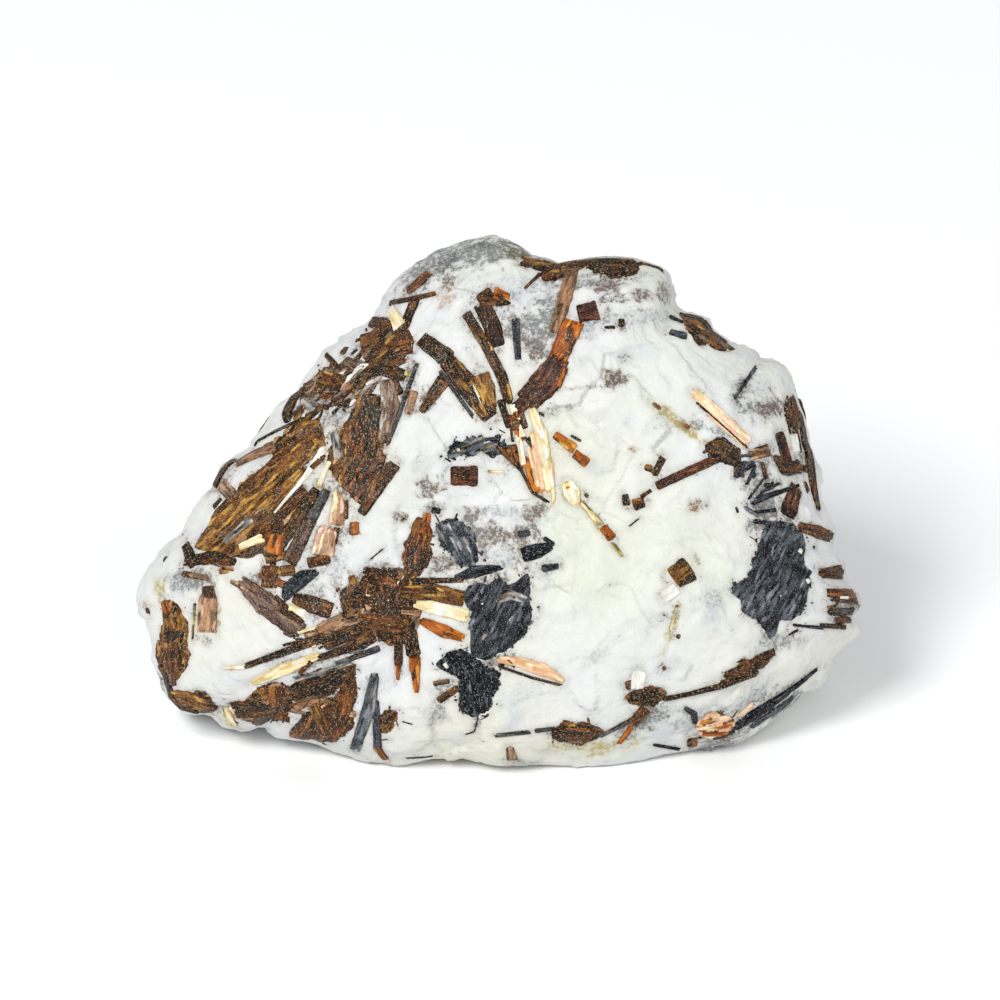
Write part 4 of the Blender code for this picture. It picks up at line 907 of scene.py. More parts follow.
# %% From rings of points to a mesh
class Piece:
    """Shells gathered to make one object, with a colour and a grain for each point."""

    def __init__(self):
        self.points, self.faces, self.tints, self.grains, self.count = [], [], [], [], 0

    def add(self, rings, tint, grain, lowest=0.1):
        """rings is rows by points by 3, in millimetres on the face. Each ring closes on itself. Points
        lower over the ground than lowest, in millimetres, are brought up to it. The shell's volume, a sum
        of triple products, says whether it is inside out."""
        rows, around = rings.shape[:2]
        index = self.count + np.arange(rows * around).reshape(rows, around)
        onward = np.roll(index, -1, axis=1)
        quads = np.stack([index[:-1], onward[:-1], onward[1:], index[1:]], axis=-1).reshape(-1, 4)
        corners = rings.reshape(-1, 3)[quads - self.count]
        volume = np.einsum("ij,ij->", corners[:, 0], np.cross(corners[:, 1], corners[:, 2]))
        volume += np.einsum("ij,ij->", corners[:, 0], np.cross(corners[:, 2], corners[:, 3]))
        caps = [index[0, ::-1], index[-1]]
        if volume < 0:
            quads, caps = quads[:, ::-1], [index[0], index[-1, ::-1]]
        self.faces += quads.tolist() + [cap.tolist() for cap in caps]
        placed = to_frame(rings).reshape(-1, 3)
        placed[:, 2] = placed[:, 2].clip(min=lowest * MM)
        self.points.append(placed)
        self.tints.append(np.broadcast_to(tint, rings.shape[:2] + (4,)).reshape(-1, 4))
        self.grains.append(np.broadcast_to(grain, rings.shape).reshape(-1, 3))
        self.count += rows * around

    def make(self, name, finish, slot, nodes=(), smooth=False):
        """Makes the object, with tint and grain as attributes, and hides the solids that it stands for."""
        mesh = bpy.data.meshes.new(name)
        mesh.from_pydata(np.concatenate(self.points).tolist(), [], self.faces)
        tint = mesh.attributes.new("tint", "FLOAT_COLOR", "POINT")
        tint.data.foreach_set("color", np.concatenate(self.tints).astype(np.float32).ravel())
        grain = mesh.attributes.new("grain", "FLOAT_VECTOR", "POINT")
        grain.data.foreach_set("vector", np.concatenate(self.grains).astype(np.float32).ravel())
        mesh.polygons.foreach_set("use_smooth", np.full(len(mesh.polygons), smooth))
        mesh.materials.append(finish)
        made = bpy.data.objects.new(name, mesh)
        bpy.context.scene.collection.objects.link(made)
        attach(made, "root")
        if nodes:
            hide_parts(*nodes)


# %% [markdown]
# ## Strips for the blades
# A strip follows its line over the smooth stone. At each station it has a flat bottom sunk in the rock and
# a top cut in narrow columns, so the bits can step up and down. It stands only a little proud, as the real
# ones were split flush with the rock.

# %% A blade laid on the stone
LOWEST, STEP = 0.1, 0.09  # height of the lowest bit over the smooth stone, and the range of the bits
SUNK, ENDED = 0.6, -0.15  # how deep the bottom is, and the height where a sheet has ended
STATION, COLUMN = 0.3, 0.16  # spacing of the points along and across
BIT_SIZE, BIT_STRETCH = 0.36, 4.0
SHEET = 0.34  # width of one sheet's row
RAGGED, RAGGED_SHARE = 0.45, 0.08  # how far a sheet's end may vary, and that as a share of the blade
EDGE_HEIGHT, EDGE_TONE = 0.04, 0.55  # of a strip's two sides
BLADE_SHADE, BLADE_DRIFT = 0.3, 0.14  # how much tones differ between blades, and drift over the stone
laid = []  # points and radii of every crystal, so that the rock can be shaped round it


def lay(piece, kind, path, salt, lift):
    """Adds one blade. Its line and width are read between the bends, and two sines ripple the width."""
    knots = np.array(path, float)
    run = np.r_[0, np.cumsum(np.hypot(*np.diff(knots[:, :2], axis=0).T))]
    along = np.linspace(0, run[-1], max(2, math.ceil(run[-1] / STATION)) + 1)
    u, v, width = (np.interp(along, run, knots[:, k]) for k in range(3))
    width = width * (1 + 0.03 * np.sin(2.9 * along + salt) + 0.025 * np.sin(5.3 * along + 2 * salt))
    lay_along(piece, kind, in_front(u, v), width, along, salt, lift)


def lay_along(piece, kind, directions, width, along, salt, lift):
    """Adds a strip along directions from the middle. Each station's ring runs over the top from one side to
    the other and back under it. Its height over the stone is the bit's, or less where a sheet has ended."""
    points, normals = stone(directions), outward(directions)
    side = np.cross(normals, np.gradient(points, axis=0))
    side /= np.linalg.norm(side, axis=1)[:, None]
    laid.append((points, width / 2))
    columns = max(2, math.ceil(width.max() / COLUMN)) + 1
    across = np.linspace(-1, 1, columns) * width[:, None] / 2
    level, tone, pick = bits_of(along[:, None], across, salt, BIT_SIZE, BIT_STRETCH)
    tone = tone + BLADE_SHADE * (chance(salt, 5.0) - 0.5) + BLADE_DRIFT * swell(points, 3.0, 43)[:, None]
    tone = tone.clip(0, 1)
    height = LOWEST + STEP * level + lift
    row = np.floor(across / SHEET + 100)
    from_start, from_end = along[:, None], along[-1] - along[:, None]
    to_end = np.minimum(from_start / chance(row, salt + 7), from_end / chance(row, salt + 8))
    height = np.where(to_end < min(RAGGED, RAGGED_SHARE * along[-1]), ENDED, height)
    height[:, [0, -1]] = np.minimum(height[:, [0, -1]], EDGE_HEIGHT + lift)
    tone[:, [0, -1]] *= EDGE_TONE
    top = points[:, None] + side[:, None] * across[..., None] + normals[:, None] * height[..., None]
    under = points[:, None] + side[:, None] * across[:, [-1, 0], None] - SUNK * normals[:, None]
    rings = np.concatenate([top, under], axis=1)
    tint = blend(kind, tone, pick)
    grain = np.zeros(rings.shape)
    grain[..., 0] = along[:, None]
    grain[:, :columns, 1] = across
    grain[..., 2] = 3.7 * (salt % 97)
    piece.add(rings, np.concatenate([tint, tint[:, [-1, 0]]], axis=1), grain)


# %% [markdown]
# ## Mounds for the masses
# A mass or a crowded patch is a low mound over its outline. Its rings grow from the middle to the outline,
# turn down at the edge and come back underneath.


# %% A mound laid on the stone
SPACING, UNDER = 0.24, 3  # of a mound's points, and how many rings go under it
FOOT, EDGE_POWER = 0.05, 9  # height of a mound's edge, and how late the top falls to it
SPOT_RADIUS = 0.35  # of each point by which a mound keeps the rock's chips off
FRAY = ((19, 0.3), (47, 0.22), (109, 0.16))  # random depths round an edge, and the most that they move it
GRAIN_START = 60  # added to a mound's places along its grain


def frayed(turn, salt):
    """An uneven edge in millimetres: random depths read between even bearings, at three spacings."""
    depth, share = 0.0, (turn / (2 * math.pi)) % 1
    for count, most in FRAY:
        knot = np.arange(count + 1)
        depth = depth + most * (2 * np.interp(share * count, knot, chance(knot % count, salt + count)) - 1)
    return depth


def mound_on(piece, mix, spread, along, across, directions, salt, dome, size, stretch):
    """Adds the mound whose points lie in these directions, rings by points: a flat dome with a bit's height
    on it, which falls off at the edge. Every third ring of the top tells the rock where it is."""
    level, tone, pick = bits_of(along, across, salt, size, stretch)
    edge = 1 - spread[:, None] ** EDGE_POWER
    height = FOOT + (dome * (1 - spread[:, None] ** 2) + STEP * level) * edge
    height[-UNDER:] = -SUNK
    surface = stone(directions)
    inner = surface[: -UNDER - 2 : 3]
    laid.append((inner.reshape(-1, 3), np.full(inner.shape[0] * inner.shape[1], SPOT_RADIUS)))
    drift = 0.16 * swell(surface, 5.0, 41) + 0.1 * swell(surface, 2.2, 42)
    grain = np.stack([along, across, np.full(along.shape, 5.0 * salt)], axis=-1)
    tint = blend(mix, (tone + drift).clip(0, 1), pick)
    piece.add(surface + outward(directions) * height[..., None], tint, grain)


def shares_to_edge(reach):
    """Shares of the way from the middle to the edge for a mound's rings, then back for those under it."""
    return np.r_[np.linspace(0.03, 1, max(8, math.ceil(reach / SPACING))), 1.0, 0.5, 0.04]


def mound(piece, mix, bearing, middle, outline, salt, dome=0.0, size=0.38, stretch=3.6, fray=1.0):
    """A mound on the face: a point is the middle plus a share of the way to the outline at its bearing."""
    points = np.array(outline) - middle
    at = np.arctan2(points[:, 1], points[:, 0])
    order = np.argsort(at)
    far = np.hypot(*points.T)
    around = max(40, math.ceil(2 * math.pi * far.max() / SPACING))
    turn = np.linspace(-math.pi, math.pi, around, endpoint=False)
    reach = np.interp(turn, at[order], far[order], period=2 * math.pi) + fray * frayed(turn, salt)
    share = shares_to_edge(far.max())
    u = middle[0] + share[:, None] * reach * np.cos(turn)
    v = middle[1] + share[:, None] * reach * np.sin(turn)
    way = math.radians(bearing)
    along = u * math.cos(way) + v * math.sin(way) + GRAIN_START
    across = v * math.cos(way) - u * math.sin(way)
    mound_on(piece, mix, share, along, across, in_front(u, v), salt, dome, size, stretch)


# %% [markdown]
# ## Laying the crystals
# One object is made for each solid crystal, so the two always match. Blades of the same crystal are lifted
# a little over each other in turn, as sheets that grew across one another are. A salt, counted from the
# crystal's place in its table and the blade's place in the crystal, gives each blade random bits of its own.


# %% Materials are named first and filled in later
def new_material(name):
    """An empty Principled material."""
    material = bpy.data.materials.new(name)
    material.use_nodes = True
    return material


feldspar_skin = new_material("feldspar_skin")
bronze_mica = new_material("bronze_mica")
black_fibre = new_material("black_fibre")
print("materials to fill in:", len(bpy.data.materials))

# %% Bronze crystals, splinters and masses
LIFTS = (0.0, 0.08, 0.04, 0.12, 0.06)  # of a crystal's blades, in turn
FELT = {"dome": 0.3, "size": 0.28, "stretch": 4.0}  # the shape of a black mass and of its fibres
for order, (name, blades) in enumerate(BLADES.items()):
    piece = Piece()
    for i, patch in enumerate(PATCHES.get(name, ())):
        mound(piece, *patch, 5.3 * order + 1.9 * i + 700, fray=0.6)
    for i, (kind, path) in enumerate(blades):
        lay(piece, kind, path, 13.1 * order + 1.7 * i, LIFTS[i % len(LIFTS)])
    piece.make(f"{name}_blades", bronze_mica, "astrophyllite", [f"astrophyllite_{name}"])
for order, (name, blades) in enumerate(SPLINTERS.items()):
    piece = Piece()
    if name in BLACK_PATCHES:
        mound(piece, *BLACK_PATCHES[name], 7.7 * order + 800, **FELT)
    for i, (kind, path) in enumerate(blades):
        lay(piece, kind, path, 7.9 * order + 2.3 * i + 500, LIFTS[i % len(LIFTS)])
    piece.make(f"{name}_splinters", black_fibre, "aegirine", [f"aegirine_{name}"])
for order, (name, mass) in enumerate(MASSES.items()):
    piece = Piece()
    mound(piece, *mass, 3.3 * order + 900, **FELT)
    piece.make(f"{name}_felt", black_fibre, "aegirine", [f"aegirine_{name}"])
print("crystals laid:", len(laid))

# %% [markdown]
# ## Loose laths and thickets
# Between the larger blades the stone is packed with broken bits of the same crystals. A thicket scatters
# small laths along a strip, most of them near its middle and roughly at one bearing, and a fringe scatters
# specks round the edge of a mass. One fixed seed serves all, so the stone is the same each time.

# %% Scatter the small laths
SEED = 11
rng = np.random.default_rng(SEED)


def lath(middle, turn, half_length, width, taper):
    """A lath's line: half its length each way from its middle, with a width that tapers."""
    half = half_length * np.array([math.cos(turn), math.sin(turn)])
    return [(*(middle - half), width), (*(middle + half), taper * width)]


def thicket(start, end, half_width, bearing, scatter, count, kinds):
    """Small laths: a place along the strip with a bell-shaped distance from it, a bearing near the given
    one, and a length and width from a range in which small ones are commoner."""
    start, end = np.array(start), np.array(end)
    way = (end - start) / np.hypot(*(end - start))
    for i in range(count):
        share, off = rng.uniform(0, 1), rng.normal(0, 0.5 * half_width)
        middle = start + share * (end - start) + off * way[::-1] * (-1, 1)
        turn = math.radians(bearing + rng.normal(0, 0.6 * scatter))
        half_length = 0.4 + 1.7 * rng.uniform() ** 2
        yield kinds[i % len(kinds)], lath(middle, turn, half_length, 0.3 + 0.9 * rng.uniform() ** 1.6, 0.8)


def fringe(outline, count, kinds, spread=0.5):
    """Specks and short fibres about an outline: an even place on it, a bell-shaped way off it, and any
    bearing."""
    corners = np.array(outline + outline[:1])
    run = np.r_[0, np.cumsum(np.hypot(*np.diff(corners, axis=0).T))]
    for i in range(count):
        at = rng.uniform(0, run[-1])
        middle = np.array([np.interp(at, run, corners[:, k]) for k in (0, 1)]) + rng.normal(0, spread, 2)
        turn = rng.uniform(0, math.pi)
        half_length = 0.1 + 0.6 * rng.uniform() ** 3
        yield kinds[i % len(kinds)], lath(middle, turn, half_length, 0.16 + 0.34 * rng.uniform() ** 2, 0.7)


MASS_SPECKS, PATCH_SPECKS = 60, 16  # in the fringe of one
small = LOOSE + [told for row in THICKETS for told in thicket(*row)]
for *_, outline in (MASSES | BLACK_PATCHES).values():
    small += fringe(outline, MASS_SPECKS, ("black", "slate"))
for *_, outline in itertools.chain(*PATCHES.values()):
    small += fringe(outline, PATCH_SPECKS, ("dark", "rust", "gold", "dark", "rust"))
print("small laths:", len(small), "inclusions:", len(INCLUSIONS))

# %% Lay the small laths
BLACK_KINDS = ("slate", "black", "silver", "ash")  # small laths of these go with the black crystals
LOOSE_LIFT, INCLUSION_LIFT = -0.03, 0.22
bronze_bits, black_bits = Piece(), Piece()
mound(bronze_bits, *LOOSE_PATCH, 1400.0)
for i, (kind, path) in enumerate(small):
    chosen = black_bits if kind in BLACK_KINDS else bronze_bits
    lay(chosen, kind, path, 2.9 * i + 1500, LOOSE_LIFT)
for i, (kind, path) in enumerate(INCLUSIONS):
    lay(bronze_bits, kind, path, 3.1 * i + 2900, INCLUSION_LIFT)
bronze_bits.make("loose_bronze_laths", bronze_mica, "astrophyllite")
black_bits.make("loose_black_laths", black_fibre, "aegirine")
print("points on loose bronze laths:", bronze_bits.count, "and black ones:", black_bits.count)

# %% [markdown]
# ## The sides and back
# Only the face is known. The rock went on growing the same way, so its sides and back get sprays and masses
# of the same kinds, at the places of the solids that stand for them.

# %% Sprays behind
# (longitude, latitude) of the middle, and (heading, reach in degrees, width) of each ray.
BACK_SPRAYS = {
    "back_star": ((-28, 12), [(5, 22, 2.2), (62, 17, 1.8), (118, 21, 2.4), (232, 20, 2.0), (300, 16, 1.8)]),
    "back_fan": ((34, 22), [(200, 24, 2.4), (242, 26, 2.0), (18, 12, 1.6)]),
    "back_pair": ((20, -14), [(150, 18, 2.2), (335, 14, 1.8)]),
    "left_side_fan": ((-82, 4), [(70, 17, 2.2), (128, 15, 1.8), (262, 14, 1.6)]),
    "right_side_fan": ((80, 10), [(96, 16, 2.0), (140, 14, 1.6), (275, 15, 2.0)]),
}
RIM_GAP, GROUND_GAP = -0.2, 1.2  # how far behind the rim, as a share, and over the ground in millimetres
SPRAY_BITS, SPRAY_SPAN = 60, 17  # small blades about each spray, and how far out they start, in degrees
HEADING_SCATTER, TURN_SCATTER = 22, 12  # of their places about a ray, and of the ways that they lie
BIT_REACH, BIT_WIDTH = (2, 8), (0.4, 1.3)
RAY_KINDS = ("dark", "rust", "gold", "rust", "dark")
BIT_KINDS = ("dark", "gold", "rust", "taupe", "dark", "rust")


def from_behind(longitude, latitude):
    """The direction at a longitude and latitude from the middle of the back, in degrees."""
    lon, lat = math.radians(longitude), math.radians(latitude)
    return np.array([math.sin(lon) * math.cos(lat), math.sin(lat), -math.cos(lon) * math.cos(lat)])


def heading_from(start, heading, reach):
    """Directions at headings and reaches in degrees from a start, which is turned towards each heading."""
    east = np.cross([0, 1, 0], start)
    east /= np.linalg.norm(east)
    north = np.cross(start, east)
    heading, reach = np.radians(heading)[..., None], np.radians(reach)[..., None]
    way = np.cos(heading) * east + np.sin(heading) * north
    return np.cos(reach) * start + np.sin(reach) * way


def ray(piece, kind, start, heading, reach, width, salt, lift=0.0, small=True):
    """One tapering blade of a spray behind. A small one that would show past the rim from in front, or that
    comes too near the ground, is left out."""
    share = np.linspace(0, 1, max(5, math.ceil(1.3 * reach)))
    directions = heading_from(start, np.full(len(share), float(heading)), reach * share)
    points = stone(directions)
    if small and (directions[:, 2].max() > RIM_GAP or to_frame(points)[:, 2].min() < GROUND_GAP * MM):
        return
    along = np.r_[0, np.cumsum(np.linalg.norm(np.diff(points, axis=0), axis=1))]
    lay_along(piece, kind, directions, width * (1 - 0.5 * share**1.5), along, salt, lift)


for order, (name, (place, rays)) in enumerate(BACK_SPRAYS.items()):
    start, piece = from_behind(*place), Piece()
    for i, (heading, reach, width) in enumerate(rays):
        kind, lift = RAY_KINDS[i % len(RAY_KINDS)], LIFTS[i % len(LIFTS)]
        ray(piece, kind, start, heading, reach, width, 4.1 * i + 31 * order + 3000, lift, small=False)
    for i in range(SPRAY_BITS):
        heading = rng.choice([row[0] for row in rays]) + rng.normal(0, HEADING_SCATTER)
        here = heading_from(start, np.float64(heading), np.float64(rng.uniform(0, SPRAY_SPAN)))
        turned = heading + rng.normal(0, TURN_SCATTER)
        reach, width = rng.uniform(*BIT_REACH), rng.uniform(*BIT_WIDTH)
        ray(piece, BIT_KINDS[i % len(BIT_KINDS)], here, turned, reach, width, 1.3 * i + 57 * order + 3500)
    piece.make(f"{name}_blades", bronze_mica, "astrophyllite", [f"astrophyllite_{name}"])
print("sprays behind:", len(BACK_SPRAYS))

# %% Clusters scattered over the sides and back
CLUSTERS, CLUSTER_LATHS = 46, 7
CLUSTER_EAST, CLUSTER_NORTH = (-88, 88), (-50, 70)  # longitudes and latitudes of their middles
CLUSTER_SPREAD, CLUSTER_TURN, CLUSTER_REACH = 4.5, 20, (2, 11)  # of their laths, in degrees
CLUSTER_KINDS = (
    ("dark", "rust", "gold"), ("slate", "black"), ("rust", "taupe", "dark"), ("peach", "rust", "gold"),
)  # fmt: skip
far_bronze, far_black = Piece(), Piece()
for cluster in range(CLUSTERS):
    middle = (rng.uniform(*CLUSTER_EAST), rng.uniform(*CLUSTER_NORTH))
    bearing = rng.uniform(0, 360)
    kinds = CLUSTER_KINDS[cluster % len(CLUSTER_KINDS)]
    for i in range(CLUSTER_LATHS):
        here = from_behind(*rng.normal(middle, CLUSTER_SPREAD))
        kind = kinds[i % len(kinds)]
        width = 0.4 + 1.4 * rng.uniform() ** 2
        chosen = far_black if kind in BLACK_KINDS else far_bronze
        turned, reach = bearing + rng.normal(0, CLUSTER_TURN), rng.uniform(*CLUSTER_REACH)
        ray(chosen, kind, here, turned, reach, width, 1.7 * i + 23 * cluster + 5000)
far_bronze.make("far_bronze_laths", bronze_mica, "astrophyllite")
far_black.make("far_black_laths", black_fibre, "aegirine")
print("points on far bronze laths:", far_bronze.count, "and black ones:", far_black.count)

# %% Masses behind
# (longitude, latitude) of the middle, and the reach in degrees.
BACK_MASSES = {"back_mass": ((4, 40), 5.2), "side_mass": ((58, -4), 4.2)}
MASS_CORNERS, MASS_POINTS = 11, 120  # of an outline, and of a ring
FIBRE_HEADING = 70
MM_A_DEGREE = 0.5  # about what a degree from the middle spans on the back


def back_mound(piece, start, reach, salt):
    """A mound as in front, with its points told by heading and reach in degrees from its middle."""
    corner = np.arange(MASS_CORNERS) * 360 / MASS_CORNERS
    reaches = reach * (1.6 + 0.35 * np.sin(np.arange(MASS_CORNERS) * 2.4))
    turn = np.linspace(0, 360, MASS_POINTS, endpoint=False)
    limit = np.interp(turn, corner, reaches, period=360) + 1.5 * frayed(np.radians(turn), salt)
    share = shares_to_edge(MM_A_DEGREE * reaches.max())
    spread = share[:, None] * limit
    directions = heading_from(start, np.broadcast_to(turn, spread.shape), spread)
    along = MM_A_DEGREE * spread * np.cos(np.radians(turn - FIBRE_HEADING)) + GRAIN_START
    across = MM_A_DEGREE * spread * np.sin(np.radians(turn - FIBRE_HEADING))
    mound_on(piece, "felt", share, along, across, directions, salt, **FELT)


for order, (name, (place, reach)) in enumerate(BACK_MASSES.items()):
    piece = Piece()
    back_mound(piece, from_behind(*place), reach, 41.0 + 7 * order)
    piece.make(f"{name}_felt", black_fibre, "aegirine", [f"aegirine_{name}"])
print("masses behind:", len(BACK_MASSES))

# %% [markdown]
# ## The feldspar
# The lump's skin is one shell of nearly two hundred thousand triangles, finest on the face. Flat chips of
# two sizes and some grit are added along its normals. Towards a crystal the chips flatten out, so that the
# rock meets its edge, and under it the rock is sunk out of sight.

# %% How near the crystals are
spots = np.concatenate([points for points, _ in laid])
radii = np.concatenate([radius for _, radius in laid])


def cell_key(cell):
    """One number for a cell of a lattice: its three counts in thousands."""
    return cell @ (1.0, 1000.0, 1000000.0)


def clearance(points, cell=2.0, reach=2.0):
    """Distance in millimetres from each point to the nearest crystal's edge, up to the reach. Both are
    sorted in cells of a lattice first, and only crystals of a cell and its neighbours are measured."""
    homes, spot_key = np.floor(points / cell), cell_key(np.floor(spots / cell))
    order = np.argsort(spot_key)
    sorted_key, near = spot_key[order], np.full(len(points), reach)
    for step in itertools.product((-1, 0, 1), repeat=3):
        wanted = cell_key(homes + step)
        first, last = np.searchsorted(sorted_key, wanted), np.searchsorted(sorted_key, wanted, side="right")
        for turn in range(int((last - first).max())):
            some = np.nonzero(first + turn < last)[0]
            which = order[first[some] + turn]
            gap = np.linalg.norm(points[some] - spots[which], axis=1) - radii[which]
            near[some] = np.minimum(near[some], gap)
    return near


print("spots on crystals:", len(spots))

# %% The smooth skin
FACE_RINGS, BACK_RINGS, SECTORS = 150, 76, 440
share = np.linspace(0.006, 1, FACE_RINGS)
face_polar = math.pi / 2 * 0.5 * share + 0.5 * np.arcsin(share)  # half even in angle, half even in distance
polar = np.r_[face_polar, np.linspace(math.pi / 2, math.pi - 0.02, BACK_RINGS + 1)[1:]]
sector = np.arange(SECTORS) * 2 * math.pi / SECTORS
out = np.sin(polar)[:, None]
ahead = np.cos(polar)[:, None] + 0 * sector
directions = np.stack([out * np.cos(sector), out * np.sin(sector), ahead], axis=-1)
smooth = stone(directions)
normals = outward(directions)
near = clearance(smooth.reshape(-1, 3)).reshape(smooth.shape[:2])
print("skin points:", smooth.shape[:2], "of them near a crystal:", (near < 1).mean().round(2))

# %% Chips and grit
SLAB, SLAB_BEND, SLAB_TILT = 8.5, 0.8, 0.13  # size, how far its borders bend, and how much its face tilts
CHIP, CHIP_TILT, CHIP_STEP = 2.9, 0.17, 0.06  # size, tilt, and how far it is set up or down
CALM_FROM, CALM_WIDTH = 0.1, 1.4  # distances from a crystal over which the chips grow to their full height
BACK_GAIN = 0.9  # how much rougher the broken back is
SINK, SINK_FROM, SINK_WIDTH = 0.16, 0.05, 0.3  # depth under a crystal, and where the rock goes down to it
big, way, big_border = shards(smooth + SLAB_BEND * swell(smooth, 7, 5)[..., None], SLAB, 1.0)
slabs = ((big - 0.5) * way).sum(axis=-1) * SLAB_TILT
little, way, _ = shards(smooth, CHIP, 4.0)
chips = ((little - 0.5) * way).sum(axis=-1) * CHIP_TILT + CHIP_STEP * (little[..., 0] - 0.5)
grit = 0.04 * swell(smooth, 1.7, 8) + 0.025 * swell(smooth, 0.9, 9)
open_rock = ((near - CALM_FROM) / CALM_WIDTH).clip(0, 1)
rough = (slabs + chips) * (0.1 + 0.9 * open_rock) + grit * (0.4 + 0.6 * open_rock)
rough *= 1 + BACK_GAIN * (-2 * directions[..., 2]).clip(0, 1)
rough -= SINK * ((SINK_FROM - near) / SINK_WIDTH).clip(0, 1)
skin = smooth + normals * rough[..., None]
print("roughness from", rough.min().round(2), "to", rough.max().round(2), "mm")

# %% [markdown]
# ## Colour of the feldspar
# The white is never one white: a faint yellow-green where it is clear, blue-grey where it is shaded by
# clay, and browner right round the blades. Stains, and painted shade where the cap and the lower right
# corner turn from the light, have places of their own. Each is an oval, and what is kept at a point is a
# dose and a colour: the material turns the dose into grains, finer than the mesh could hold.

# %% Tints, stains and painted shade
WHITE, IVORY, MINT, COOL = linear([(214, 215, 214), (215, 213, 197), (210, 213, 193), (194, 201, 208)])
MARK_COLOURS = {
    "grey": (110, 112, 112), "pale_grey": (150, 156, 160), "taupe": (94, 76, 64), "olive": (168, 154, 84),
    "rust": (150, 92, 44), "soot": (46, 46, 48), "blush": (178, 142, 112), "umber": (104, 80, 58),
    "moss": (90, 89, 70),
}  # fmt: skip
MARKS = {name: linear(colour) for name, colour in MARK_COLOURS.items()}
